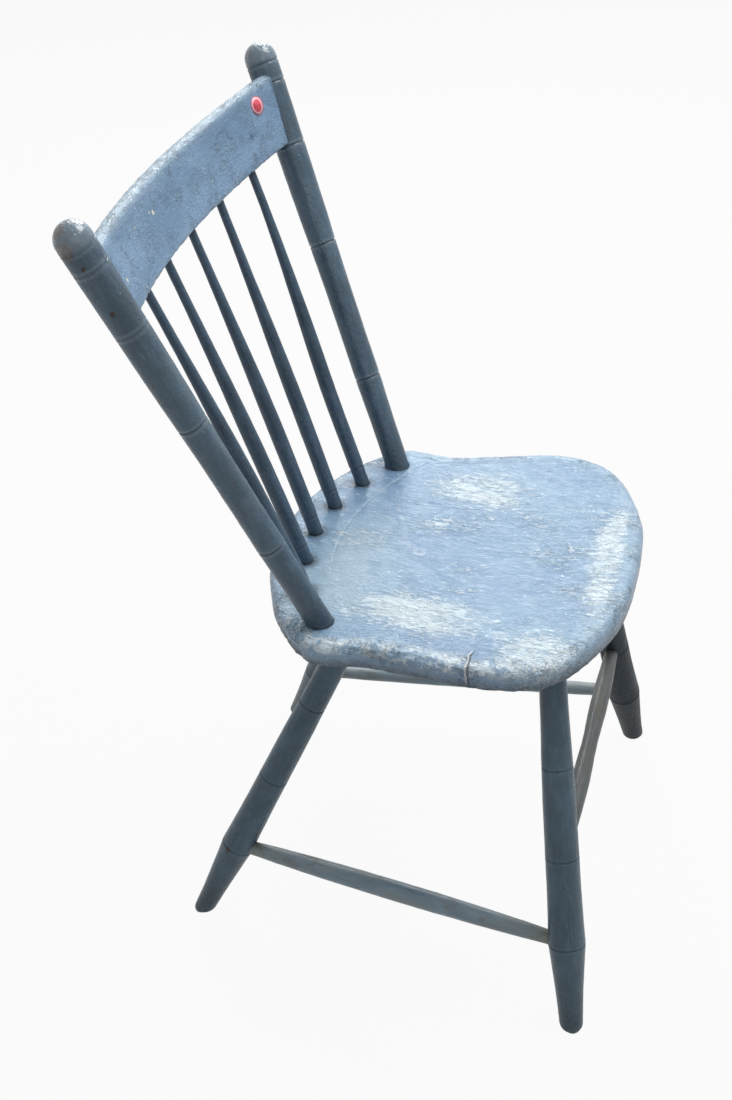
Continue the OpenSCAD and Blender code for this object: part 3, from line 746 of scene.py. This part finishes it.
def wrinkled_paint_effect():
    """Ridges of shrunken paint that follow the grain, with short breaks."""
    group, b, i, out = effect("Wrinkled paint", [("Grain", VEC, None), ("Spacing", NUM, 1.0)],
                              [("Height", NUM)])
    place = b.add("ShaderNodeVectorMath", {0: i["Grain"], "Scale": i["Spacing"]}, operation="SCALE")
    bent = b.bend(place.outputs[0], 60.0, 2.0, (0.012, 0.012, 0.03))
    line = b.cloud(b.stretch(bent, (260, 260, 38)), 1.0, 2.5, 0.55, 0.2)
    ridge = b.less(1.0, b.times(b.apart(line, 0.5), 7.0), clamp=True)
    small_line = b.cloud(b.stretch(bent, (560, 560, 90), (3, 1, 2)), 1.0, 2, 0.5, 0.3)
    small_ridge = b.less(1.0, b.times(b.apart(small_line, 0.5), 8.0), clamp=True)
    b.give(out, Height=b.total((b.reckon("POWER", ridge, 1.6), 0.65), (small_ridge, 0.35)))
    return group


def crackle_effect():
    """Fine cracks that wander, fork and stop, as in thick paint that has dried out."""
    group, b, i, out = effect("Wandering cracks",
                              [("Place", VEC, None), ("Scale", NUM, 70.0), ("Share", NUM, 0.5)],
                              [("Cracks", NUM)])
    one = b.cloud(i["Place"], i["Scale"], 4, 0.6, 1.2)
    two = b.cloud(b.stretch(i["Place"], (1.7, 1.7, 1.7), (0.3, 0.1, 0.2)), i["Scale"], 4, 0.62, 0.8)
    lines = [b.less(1.0, b.times(b.apart(n, 0.5), 75.0), clamp=True) for n in (one, two)]
    broken = b.span(b.cloud(i["Place"], b.times(i["Scale"], 0.8), 2, 0.5), 0.5, 0.58)
    cracks = b.times(b.most(lines[0], b.times(lines[1], 0.8)), broken)
    b.give(out, Cracks=b.reckon("MULTIPLY", cracks, i["Share"], clamp=True))
    return group


def streak_effect():
    """Short raised streaks of lifted paint, gathered in some places and missing in others."""
    group, b, i, out = effect("Lifted streaks", [("Grain", VEC, None), ("Share", NUM, 0.5)],
                              [("Height", NUM), ("Mask", NUM)])
    bent = b.bend(i["Grain"], 90.0, 2.0, (0.006, 0.006, 0.012))
    large = b.cloud(b.stretch(bent, (230, 230, 70)), 1.0, 2, 0.5, 0.5)
    short = b.cloud(b.stretch(bent, (480, 480, 190), (2, 5, 1)), 1.0, 2, 0.5, 0.5)
    over = b.less(b.total((large, 0.6), (short, 0.4)), b.less(0.68, b.times(i["Share"], 0.16)))
    b.give(out, Mask=b.span(over, 0.0, 0.022), Height=b.span(over, -0.05, 0.09))
    return group


def flakes_effect():
    """Small flakes that have come away, as a ragged mask."""
    group, b, i, out = effect("Paint flakes off",
                              [("Grain", VEC, None), ("Scale", NUM, 90.0), ("Cover", NUM, 0.3)],
                              [("Bare", NUM)])
    big = b.cloud(i["Grain"], b.times(i["Scale"], 0.35), 2, 0.5)
    small = b.cloud(i["Grain"], i["Scale"], 5, 0.62, 0.5)
    edge = b.less(1.0, b.times(i["Cover"], 0.62))
    over = b.less(b.total((big, 0.45), (small, 0.55)), b.times(edge, 0.72))
    b.give(out, Bare=b.span(over, 0.0, 0.012))
    return group


def specks_effect():
    """Small scattered dots."""
    group, b, i, out = effect("Specks",
                              [("Place", VEC, None), ("Scale", NUM, 120.0), ("Size", NUM, 0.12),
                               ("Share", NUM, 0.15)],
                              [("Mask", NUM)])
    cells = b.add("ShaderNodeTexVoronoi", {"Vector": i["Place"], "Scale": i["Scale"]}).outputs
    draw = b.add("ShaderNodeSeparateColor", {0: cells["Color"]}).outputs
    near = b.reckon("LESS_THAN", cells["Distance"], b.times(i["Size"], b.plus(draw[0], 0.4)))
    b.give(out, Mask=b.times(near, b.reckon("LESS_THAN", draw[1], i["Share"])))
    return group


def grime_and_shade_effect():
    """Soft dirt and painted shade, gathered where the dirt-and-shade value says and broken up by clouds."""
    group, b, i, out = effect("Handling grime and painted shade",
                              [("Place", VEC, None), ("Gather", NUM, 0.0), ("Haze", NUM, 0.2)],
                              [("Mask", NUM)])
    broad = b.cloud(i["Place"], 34, 4, 0.6, 0.3)
    fine = b.cloud(i["Place"], 260, 4, 0.65)
    haze = b.times(b.span(broad, 0.45, 0.72), i["Haze"])
    held = b.times(i["Gather"], b.span(fine, 0.28, 0.62, 0.45, 1.0))
    b.give(out, Mask=b.plus(haze, held, clamp=True))
    return group


def mark_effect():
    """A ragged blot of a given size about one place."""
    group, b, i, out = effect("Single mark",
                              [("Place", VEC, None), ("Centre", VEC, None), ("Radius", NUM, 0.005)],
                              [("Mask", NUM)])
    wobble = b.times(b.less(b.cloud(i["Place"], 420, 4, 0.6), 0.5), b.times(i["Radius"], 1.8))
    reach = b.plus(b.move("DISTANCE", i["Place"], i["Centre"]), wobble)
    b.give(out, Mask=b.span(reach, b.times(i["Radius"], 1.12), b.times(i["Radius"], 0.9)))
    return group


def patch_effect():
    """A wide soft-edged patch, longer one way than the other."""
    group, b, i, out = effect("Soft patch",
                              [("Place", VEC, None), ("Centre", VEC, None), ("Reach", VEC, None)],
                              [("Mask", NUM)])
    off = b.move("DIVIDE", b.move("SUBTRACT", i["Place"], i["Centre"]), i["Reach"])
    bent = b.bend(i["Place"], 26.0, 4.0, (0.9, 0.9, 0.9), off)
    away = b.move("LENGTH", b.move("SUBTRACT", bent, (0.45, 0.45, 0.45)))
    b.give(out, Mask=b.span(away, 0.25, 1.25, 1.0, 0.0))
    return group


BRUSHED, WRINKLED, CRACKLED = brushed_paint_effect(), wrinkled_paint_effect(), crackle_effect()
FLAKES, SPECKS, GRIME_AND_SHADE, MARK = flakes_effect(), specks_effect(), grime_and_shade_effect(), mark_effect()
PATCH, STREAKS = patch_effect(), streak_effect()


class Finish(Bench):
    """One finish: the places its patterns are read from, and its shader."""

    def __init__(self, name):
        self.material = bpy.data.materials.new(name)
        self.material.use_nodes = True
        super().__init__(self.material.node_tree)
        self.shader = self.tree.nodes["Principled BSDF"]
        self.place = self.add("ShaderNodeTexCoord").outputs["Object"]
        self.grain = self.add("ShaderNodeAttribute", attribute_name="grain").outputs["Vector"]
        self.dirt_and_shade = self.add("ShaderNodeAttribute", attribute_name="dirt_and_shade").outputs["Fac"]
        self.wear_and_highlight = self.add("ShaderNodeAttribute", attribute_name="wear_and_highlight").outputs["Fac"]

    def use(self, group, **inputs):
        node = self.add("ShaderNodeGroup")
        node.node_tree = group
        return self.feed(node, inputs).outputs

    def lay(self, tone, mask, strength, paint):
        """Lays a second colour over the first where the mask says, no stronger than strength."""
        return self.blend(self.times(mask, strength), tone, paint)

    def mark(self, at, radius):
        return self.use(MARK, Place=self.place, Centre=tuple(at), Radius=radius*MM)["Mask"]

    def patch(self, at, reach):
        return self.use(PATCH, Place=self.place, Centre=tuple(at), Reach=tuple(r*MM for r in reach))["Mask"]

    def marks(self, spots):
        return self.most(*(self.mark(at, radius) for at, radius in spots))

    def close(self, base, roughness, height, depth, coat=0.0, coat_rough=0.12, coat_ior=1.5, mirror=0.5):
        """Feeds the shader, with height as a relief depth millimetres deep under paint and coat alike."""
        bump = self.add("ShaderNodeBump", {"Height": height, "Strength": 1.0, "Distance": depth*MM})
        relief = bump.outputs[0]
        self.feed(self.shader, {"Base Color": base, "Roughness": roughness, "Specular IOR Level": mirror,
                                "Coat Weight": coat, "Coat Roughness": coat_rough, "Coat IOR": coat_ior,
                                "Normal": relief, "Coat Normal": relief})
        return self.material


def seat_finish():
    f = Finish("Plank: thick wrinkled paint, pale blue")
    across, back, up = f.add("ShaderNodeSeparateXYZ", {0: f.place}).outputs
    brush = f.use(BRUSHED, Grain=f.grain)
    wrinkle = f.use(WRINKLED, Grain=f.grain, Spacing=0.8)
    broad = f.cloud(f.stretch(f.grain, (14, 14, 7)), 1.0, 4, 0.6, 0.5)
    tone = f.blend(f.span(broad, 0.36, 0.66), colour(110, 144, 178), colour(128, 161, 190))
    tone = f.lay(tone, f.span(brush["Streaks"], 0.46, 0.72), 0.22, colour(166, 190, 206))

    # chalky, rubbed patches beside the hollow, behind it and along the front; those beside the hollow and
    # along the front are also a painted glare
    right = f.patch(spot(-112, 22, SEAT_TOP), (34, 84, 60))
    left = f.patch(spot(119, 8, SEAT_TOP), (38, 64, 60))
    front = f.most(f.patch(spot(-150, -104, 436), (44, 50, 60)),
                   f.patch(spot(10, -146, SEAT_TOP), (130, 20, 60)))
    rear = f.patch(spot(-60, 120, SEAT_TOP), (120, 60, 60))
    chalk_and_glare = f.most(right, f.times(left, 0.8), f.times(front, 0.85))
    gathered = f.span(f.cloud(f.stretch(f.grain, (26, 26, 14)), 1.0, 3, 0.55), 0.48, 0.66)
    glinting_streak = f.use(STREAKS, Grain=f.grain, Share=f.most(f.times(gathered, 0.85), chalk_and_glare))
    tone = f.lay(tone, f.most(chalk_and_glare, rear), 0.40, colour(190, 211, 222))
    fine = f.cloud(f.stretch(f.grain, (340, 340, 110)), 1.0, 3, 0.62)
    wrinkle_light = f.total((chalk_and_glare, 0.42), (gathered, 0.14), (wrinkle["Height"], 0.42), (fine, 1.0))
    # painted highlight on the wrinkles' crests
    tone = f.lay(tone, f.span(wrinkle_light, 0.84, 1.16), 0.85, colour(220, 234, 240))
    ruffled = f.most(chalk_and_glare, f.times(gathered, 0.5))
    # painted shade in the wrinkles' valleys
    valley_shade = f.times(f.span(wrinkle_light, 0.80, 0.60), f.plus(f.times(chalk_and_glare, 0.5), 0.3))
    tone = f.lay(tone, valley_shade, 0.34, colour(104, 134, 160))
    # painted glints on the lifted streaks
    tone = f.lay(tone, glinting_streak["Mask"], 0.75, colour(218, 231, 240))

    # the lumpy, cracked and rubbed edge, with a painted highlight along its rim
    tone = f.lay(tone, f.wear_and_highlight, 0.30, colour(172, 194, 208))
    right_side = f.span(across, -0.11, -0.17)
    # painted glints on the lumps of the near edge
    glint_speckle = f.times(f.span(f.cloud(f.place, 170, 3, 0.6), 0.58, 0.62), f.wear_and_highlight,
                      f.plus(f.times(right_side, 0.8), 0.2), f.span(up, 0.424, 0.434))
    tone = f.lay(tone, glint_speckle, 0.7, colour(230, 238, 242))
    # painted highlight along the top of the near edge
    rim_highlight = f.times(f.span(up, 0.429, 0.435), right_side, f.wear_and_highlight,
                     f.span(f.cloud(f.place, 70, 3, 0.6), 0.44, 0.56))
    tone = f.lay(tone, rim_highlight, 0.6, colour(222, 231, 234))
    cracks = f.use(CRACKLED, Place=f.place, Scale=58.0, Share=f.times(f.wear_and_highlight, 0.9))["Cracks"]
    tone = f.lay(tone, cracks, 0.55, colour(84, 94, 98))

    # one long split down the right edge, with a painted highlight on its lip
    wander = f.times(f.less(f.cloud(f.place, 120, 3, 0.6), 0.5), 0.007)
    split = f.plus(f.less(back, spot(0, SPLIT_BACK, 0).y), wander)
    edge_on = f.times(f.span(across, -0.158, -0.168), f.span(up, 0.420, 0.426))
    lip_highlight = f.times(f.span(f.apart(split, 0.0018), 0.0005, 0.0015, 1.0, 0.0), edge_on)
    gap = f.times(f.span(f.apart(split), 0.0005, 0.0012, 1.0, 0.0), edge_on)
    tone = f.lay(tone, lip_highlight, 0.9, colour(240, 244, 245))
    tone = f.lay(tone, gap, 0.8, colour(60, 68, 72))

    # the ring left by a cup
    cup = tuple(spot(CUP_ACROSS, CUP_BACK, 434.5))
    ring = f.span(f.apart(f.move("DISTANCE", f.place, cup), CUP_RADIUS*MM), 0.0006, 0.0026, 1.0, 0.0)
    tone = f.blend(f.times(ring, f.span(fine, 0.36, 0.6, 0.05, 0.5)), tone, colour(208, 222, 230))

    # the line scribed in front of the spindles, drawn as a pale painted highlight
    level = f.add("ShaderNodeCombineXYZ", {0: across, 1: back, 2: SEAT_TOP*MM}).outputs[0]
    middle = tuple(spot(0, SCRIBE_BACK, SEAT_TOP))
    off_line = f.apart(f.move("DISTANCE", level, middle), (SCRIBE_RADIUS + 0.2)*MM)
    line = f.times(f.span(off_line, 0.0003, 0.0024, 1.0, 0.0), f.span(back, 0.020, 0.045),
                   f.span(across, -0.11, 0.03), f.span(across, 0.155, 0.125), f.span(up, 0.432, 0.436))
    tone = f.lay(tone, line, f.span(fine, 0.36, 0.66, 0.04, 0.36), colour(204, 217, 226))

    # painted shade under the edge, and more painted shade where the dirt-and-shade value says: the lower
    # band, the underside and round the feet
    under = f.span(f.plus(up, f.times(f.less(fine, 0.5), 0.008)), 0.423, 0.412)
    tone = f.lay(tone, under, 0.72, colour(72, 90, 103))
    dirt_and_shade = f.use(GRIME_AND_SHADE, Place=f.place, Gather=f.dirt_and_shade, Haze=0.06)["Mask"]
    tone = f.lay(tone, dirt_and_shade, 0.88, colour(46, 58, 66))
    rough_ = f.span(f.total((broad, 0.5), (wrinkle["Height"], 0.5)), 0.2, 0.8, 0.44, 0.60)
    height = f.total((brush["Height"], 0.25), (wrinkle["Height"], f.span(ruffled, 0.0, 0.6, 0.5, 0.9)),
                     (glinting_streak["Height"], 1.0), (fine, 0.5), (cracks, -0.9), (glint_speckle, 0.7), (line, -0.6),
                     (lip_highlight, 0.6), (gap, -1.2))
    return f.close(tone, rough_, height, 1.1, coat=0.5, coat_rough=0.11, mirror=0.4)


def on_crest(across, up, proud=8.6):
    """A place by the crest's hollow face."""
    return on_back(across, crest_behind(across) - proud, up)


def crest_finish():
    """Brushed paint with white chips, a crackled patch and wandering raised lines."""
    f = Finish("Crest: brushed blue-grey paint")
    brush = f.use(BRUSHED, Grain=f.grain)
    broad = f.cloud(f.stretch(f.grain, (22, 22, 9)), 1.0, 4, 0.6, 0.5)
    tone = f.blend(f.span(broad, 0.36, 0.66), colour(112, 144, 176), colour(132, 162, 193))
    tone = f.lay(tone, f.span(brush["Streaks"], 0.47, 0.75), 0.3, colour(146, 170, 194))
    # worn paint and a painted highlight along the top edge
    tone = f.lay(tone, f.wear_and_highlight, 0.6, colour(184, 204, 214))
    zone = f.mark(on_crest(153, 390, 8), 15)
    cracks = f.use(CRACKLED, Place=f.place, Scale=95.0, Share=f.most(zone, f.times(f.wear_and_highlight, 0.9)))["Cracks"]
    tone = f.lay(tone, cracks, 0.6, colour(66, 80, 84))
    lifted = f.use(STREAKS, Grain=f.grain, Share=f.plus(f.times(f.wear_and_highlight, 0.5), 0.12))
    tone = f.lay(tone, lifted["Mask"], 0.4, colour(206, 218, 224))
    white = f.marks([(on_crest(across, up), radius) for across, up, radius in
                     ((-69, 418, 2.6), (-76, 421, 1.3), (-191, 402, 2.4), (-119, 423, 1.0), (60, 396, 0.9))])
    tone = f.blend(white, tone, colour(232, 234, 222))
    dirt_and_shade = f.use(GRIME_AND_SHADE, Place=f.place, Gather=f.dirt_and_shade, Haze=0.10)["Mask"]
    tone = f.lay(tone, dirt_and_shade, 0.75, colour(58, 72, 84))
    rough_ = f.span(f.total((broad, 0.5), (brush["Height"], 0.5)), 0.2, 0.8, 0.34, 0.5)
    lumps = f.cloud(f.place, 330, 3, 0.55, 0.8)
    raised = f.times(f.span(f.apart(f.cloud(f.place, 120, 2, 0.5, 2.2), 0.5), 0.0, 0.05, 1.0, 0.0),
                     f.span(f.cloud(f.place, 45, 2), 0.48, 0.6))
    tone = f.lay(tone, raised, 0.34, colour(172, 196, 214))
    # painted shade in the low places between the lumps
    tone = f.lay(tone, f.span(lumps, 0.46, 0.34), 0.22, colour(84, 110, 138))
    height = f.total((brush["Height"], 1.0), (cracks, -0.9), (white, -0.9), (lifted["Height"], 0.6),
                     (lumps, 1.6), (raised, 0.7))
    return f.close(tone, rough_, height, 1.0, coat=0.28, coat_rough=0.14, mirror=0.25)


def turning_finish(name, dark, mid, pale, shine, bare_cover, rubs=(), gloss=0.0, lacquer=0.18):
    """Satin slate paint on turned wood, worn through in places; rubs are brown marks of a given size."""
    f = Finish(name)
    brush = f.use(BRUSHED, Grain=f.grain)
    broad = f.cloud(f.stretch(f.grain, (30, 30, 12)), 1.0, 4, 0.6, 0.5)
    tone = f.blend(f.span(broad, 0.36, 0.66), dark, mid)
    tone = f.lay(tone, f.span(brush["Streaks"], 0.46, 0.74), 0.35, pale)
    # paler where worn, and along the scored lines' lips as a painted highlight
    tone = f.lay(tone, f.wear_and_highlight, 0.22, pale)
    lifted = f.use(STREAKS, Grain=f.grain, Share=0.22)
    tone = f.lay(tone, lifted["Mask"], 0.3, pale)
    flakes = f.use(FLAKES, Grain=f.grain, Scale=150.0, Cover=bare_cover)
    bare = f.times(flakes["Bare"], 0.12)
    wood = f.blend(f.cloud(f.stretch(f.grain, (300, 300, 30)), 1.0, 3),
                   colour(64, 50, 38), colour(112, 92, 68))
    tone = f.blend(bare, tone, wood)
    if rubs:
        spots = f.times(f.marks(rubs), f.span(f.cloud(f.place, 210, 4, 0.6), 0.34, 0.52, 0.35, 1.0))
        tone = f.lay(tone, spots, 0.7, colour(98, 72, 54))
        bare = f.most(bare, spots)
    # dirt at the joints, with painted shade low on the posts and over the front left leg
    dirt_and_shade = f.use(GRIME_AND_SHADE, Place=f.place, Gather=f.dirt_and_shade, Haze=0.14)["Mask"]
    tone = f.lay(tone, dirt_and_shade, 0.8, colour(30, 36, 40))
    white = f.use(SPECKS, Place=f.place, Scale=150.0, Size=0.10, Share=0.05)["Mask"]
    tone = f.lay(tone, white, 0.5, colour(160, 170, 174))
    rough_ = f.plus(f.span(broad, 0.3, 0.7, shine, shine + 0.14), f.times(bare, 0.3))
    lumps = f.cloud(f.place, 210, 3, 0.5, 0.6)
    # painted shade in the low places between the lumps
    tone = f.lay(tone, f.span(lumps, 0.46, 0.34), 0.3, dark)
    height = f.total((brush["Height"], 0.6), (bare, -0.5), (lifted["Height"], 0.7), (lumps, 1.3))
    coat = f.plus(f.times(f.wear_and_highlight, gloss), lacquer, clamp=True) if gloss else lacquer
    return f.close(tone, rough_, height, 0.7, coat=coat, coat_rough=0.10 if gloss else 0.16,
                   coat_ior=1.75 if gloss else 1.5, mirror=0.18)


def stretcher_finish(name, dark, mid, pale, rubbed, grime_and_shade_tone):
    """Slate paint, rubbed and soiled, most of all where the stretcher meets the legs."""
    f = Finish(name)
    brush = f.use(BRUSHED, Grain=f.grain)
    broad = f.cloud(f.stretch(f.grain, (36, 36, 10)), 1.0, 4, 0.6, 0.6)
    tone = f.blend(f.span(broad, 0.34, 0.66), dark, mid)
    tone = f.lay(tone, f.span(brush["Streaks"], 0.45, 0.72), 0.5, pale)
    worn = f.cloud(f.stretch(f.grain, (70, 70, 14)), 1.0, 5, 0.65, 0.4)
    tone = f.lay(tone, f.span(worn, 0.48, 0.62), 0.6, rubbed)
    flakes = f.use(FLAKES, Grain=f.stretch(f.grain, (1, 1, 0.4)), Scale=190.0, Cover=0.34)
    tone = f.lay(tone, flakes["Bare"], 0.4, colour(104, 96, 80))
    # dirt towards the ends, and painted shade over the cross stretchers
    dirt_and_shade = f.use(GRIME_AND_SHADE, Place=f.place, Gather=f.dirt_and_shade, Haze=0.22)["Mask"]
    tone = f.lay(tone, dirt_and_shade, 0.85, grime_and_shade_tone)
    rough_ = f.span(f.total((worn, 0.6), (dirt_and_shade, 0.4)), 0.2, 0.8, 0.42, 0.66)
    height = f.total((brush["Height"], 0.8), (flakes["Bare"], -0.5), (worn, 0.3))
    return f.close(tone, rough_, height, 0.4, coat=0.12, coat_rough=0.22)


def iron_finish():
    """Nail heads gone dark, with rust in the grain."""
    f = Finish("Nails: dark rusted iron")
    grain = f.cloud(f.place, 900, 5, 0.7)
    tone = f.blend(f.span(grain, 0.35, 0.65), colour(30, 30, 32), colour(74, 58, 50))
    rough_ = f.span(grain, 0.3, 0.7, 0.5, 0.85)
    return f.close(tone, rough_, grain, 0.25)


def sticker_finish():
    """Faded red paper with a darker edge, a paler ring and a few worn, unreadable pen strokes."""
    f = Finish("Sticker: faded red paper")
    away = f.move("LENGTH", f.grain)
    fibre = f.cloud(f.grain, 2600, 3, 0.6)
    tone = f.blend(f.span(fibre, 0.3, 0.7), colour(236, 70, 92), colour(246, 90, 108))
    ring = f.times(f.span(away, 0.0062, 0.0068), f.span(away, 0.0086, 0.0090, 1.0, 0.0))
    tone = f.blend(ring, tone, colour(255, 200, 208))
    tone = f.blend(f.span(away, 0.0087, 0.0091), tone, colour(206, 44, 74))
    ink = f.cloud(f.stretch(f.grain, (300, 190, 100), (4.3, 1.7, 0)), 1.0, 1.5, 0.4, 1.6)
    stroke = f.span(f.apart(ink, 0.52), 0.03, 0.06, 1.0, 0.0)
    stroke = f.times(stroke, f.span(away, 0.0052, 0.0062, 1.0, 0.0))
    tone = f.lay(tone, stroke, 0.95, colour(112, 14, 34))
    rough_ = f.span(fibre, 0.2, 0.8, 0.38, 0.55)
    return f.close(tone, rough_, fibre, 0.05, coat=0.1)


seat_paint = seat_finish()
crest_paint = crest_finish()
leg_paint = turning_finish(
    "Legs: satin slate paint", colour(74, 94, 107), colour(93, 115, 129), colour(126, 147, 159), 0.36, 0.40,
    [(spot(-175.6, 241.6, 103), 3.6), (spot(-171, 236, 112), 1.8), (spot(-181, 272, 14), 6.0),
     (spot(-236, -170, 10), 5.0)])
# painted shade: a darker copy of the legs' paint for the front left leg, which stands in the seat's shadow
shaded_leg_paint = turning_finish(
    "Front left leg: slate paint darkened as painted shade", colour(38, 51, 60), colour(48, 63, 73), colour(72, 88, 98),
    0.46, 0.40, lacquer=0.06)
post_paint = turning_finish(
    "Posts: satin slate paint", colour(73, 94, 110), colour(95, 117, 134), colour(130, 151, 165), 0.33, 0.40,
    [(spot(-245, 277, 866), 8.5), (spot(-240, 281, 881), 5.5), (spot(-193, 173, 625), 1.2)], gloss=0.65)
spindle_paint = turning_finish(
    "Spindles: dark slate paint", colour(62, 80, 96), colour(80, 100, 118), colour(112, 132, 148), 0.36, 0.32)
side_stretcher_paint = stretcher_finish(
    "Side stretchers: rubbed slate paint", colour(112, 133, 148), colour(140, 161, 175),
    colour(156, 173, 184), colour(140, 144, 136), colour(132, 128, 110))
# soiled paint, darker still as painted shade under the seat
soiled_shaded_cross_stretcher_paint = stretcher_finish(
    "Cross stretchers: soiled slate paint", colour(62, 74, 83), colour(81, 93, 101), colour(112, 122, 128),
    colour(98, 96, 86), colour(82, 78, 66))
nail_iron = iron_finish()
sticker_paper = sticker_finish()

make_seat(seat_paint)
make_leg("leg_front_right", True, -1, 1.3, leg_paint)
# soil_and_shade darkens the front left leg all over as painted shade
make_leg("leg_front_left", True, 1, 2.7, shaded_leg_paint, 0.85)
make_leg("leg_rear_right", False, -1, 4.1, leg_paint)
make_leg("leg_rear_left", False, 1, 5.9, leg_paint, 0.3)
for name, side, middle, seed in (("stretcher_right", -1, 11.4, 6.3), ("stretcher_left", 1, 9.2, 7.1)):
    make_stretcher(name, leg_at(True, side, LOW_GROOVE), leg_at(False, side, LOW_GROOVE), LEG_FRONT[1],
                   LEG_REAR[1], side_keys(middle), seed, side_stretcher_paint)
# soil_and_shade darkens each cross stretcher all over, as painted shade on the front one
for name, front, radius, seed, soil_and_shade in (("stretcher_front", True, LEG_FRONT[2], 8.2, 0.5),
                                        ("stretcher_rear", False, LEG_REAR[2], 9.4, 0.45)):
    make_stretcher(name, leg_at(front, -1, MIDDLE_GROOVE), leg_at(front, 1, MIDDLE_GROOVE), radius, radius,
                   cross_keys, seed, soiled_shaded_cross_stretcher_paint, soil_and_shade)
make_post(-1, 10.6, post_paint)
make_post(1, 11.8, post_paint)
for i in SPINDLES:
    make_spindle(i, 12.5 + i, spindle_paint)
make_crest(crest_paint)
make_nails(nail_iron)
make_sticker(sticker_paper)


# ---------------------------------------------------------------- floor, light and camera

def seen_directly(b):
    """One for rays from the camera, in reflections and through glass."""
    path = b.add("ShaderNodeLightPath").outputs
    return b.most(path["Is Camera Ray"], b.most(path["Is Glossy Ray"], path["Is Transmission Ray"]))


def make_floor():
    """A wide floor that shows white and still takes the chair's shadow."""
    mesh = bpy.data.meshes.new("floor")
    bm = bmesh.new()
    bmesh.ops.create_grid(bm, x_segments=4, y_segments=4, size=14)
    bm.to_mesh(mesh)
    bm.free()
    floor = bpy.data.objects.new("floor", mesh)
    bpy.context.scene.collection.objects.link(floor)
    material = bpy.data.materials.new("White studio floor")
    material.use_nodes = True
    b = Bench(material.node_tree)
    b.tree.nodes.clear()
    paint = b.add("ShaderNodeBsdfDiffuse", {"Color": (0.42, 0.42, 0.42, 1)})
    glow = b.add("ShaderNodeEmission", {"Color": (1, 1, 1, 1), "Strength": 1.0})
    share = b.times(seen_directly(b), 0.94)
    both = b.add("ShaderNodeMixShader", {0: share, 1: paint.outputs[0], 2: glow.outputs[0]})
    b.add("ShaderNodeOutputMaterial", {"Surface": both.outputs[0]})
    mesh.materials.append(material)


def soft_lamp(name, at, target, wide, high, power):
    lamp = bpy.data.lights.new(name, "AREA")
    lamp.shape, lamp.size, lamp.size_y, lamp.energy = "RECTANGLE", wide, high, power
    lamp.color = (1.0, 0.99, 0.97)
    ob = bpy.data.objects.new(name, lamp)
    ob.location = at
    ob.rotation_mode = "QUATERNION"
    ob.rotation_quaternion = (Vector(target) - Vector(at)).to_track_quat("-Z", "Y")
    bpy.context.scene.collection.objects.link(ob)


def make_world():
    """A soft, slightly cool room that shows plain white to the eye."""
    world = bpy.data.worlds.new("Soft room")
    bpy.context.scene.world = world
    world.use_nodes = True
    b = Bench(world.node_tree)
    b.tree.nodes.clear()
    seen = seen_directly(b)
    room = b.add("ShaderNodeBackground", {"Color": (0.88, 0.94, 1.0, 1), "Strength": 0.33})
    white = b.add("ShaderNodeBackground", {"Color": (1, 1, 1, 1), "Strength": 1.0})
    both = b.add("ShaderNodeMixShader", {0: seen, 1: room.outputs[0], 2: white.outputs[0]})
    b.add("ShaderNodeOutputWorld", {"Surface": both.outputs[0]})


def make_camera():
    """High and to the sitter's right, looking down over the seat's near edge, with a slight tilt."""
    yaw, pitch, roll = (math.radians(a) for a in (71.372, -37.194, -3.530))
    ahead = Vector((math.sin(yaw)*math.cos(pitch), math.cos(yaw)*math.cos(pitch), math.sin(pitch)))
    level = Vector((math.cos(yaw), -math.sin(yaw), 0))
    over = level.cross(ahead)
    right = math.cos(roll)*level + math.sin(roll)*over
    up = -math.sin(roll)*level + math.cos(roll)*over
    data = bpy.data.cameras.new("camera")
    data.sensor_width, data.lens = 36.0, 48.523
    data.shift_x, data.shift_y = 0.01364, 0.04013
    data.clip_start, data.clip_end = 0.05, 60
    cam = bpy.data.objects.new("camera", data)
    cam.matrix_world = Matrix.Translation((-1.24783, -0.34839, 1.35977)) @ Matrix(
        (right, up, -ahead)).transposed().to_4x4()
    bpy.context.scene.collection.objects.link(cam)
    bpy.context.scene.camera = cam


make_floor()
make_world()
soft_lamp("overhead", (0.9, -0.9, 2.9), (0, 0, 0.4), 1.5, 1.5, 54)
soft_lamp("window_low", (2.53, 0.79, 1.75), (0, -0.06, 0.44), 1.5, 0.28, 30)
soft_lamp("window_high", (1.90, 0.58, 2.67), (0, -0.06, 0.44), 1.5, 0.24, 24)
soft_lamp("fill", (-2.4, -1.6, 1.9), (0, 0, 0.5), 2.0, 2.0, 8)
make_camera()
bpy.context.scene.view_settings.view_transform = "Standard"
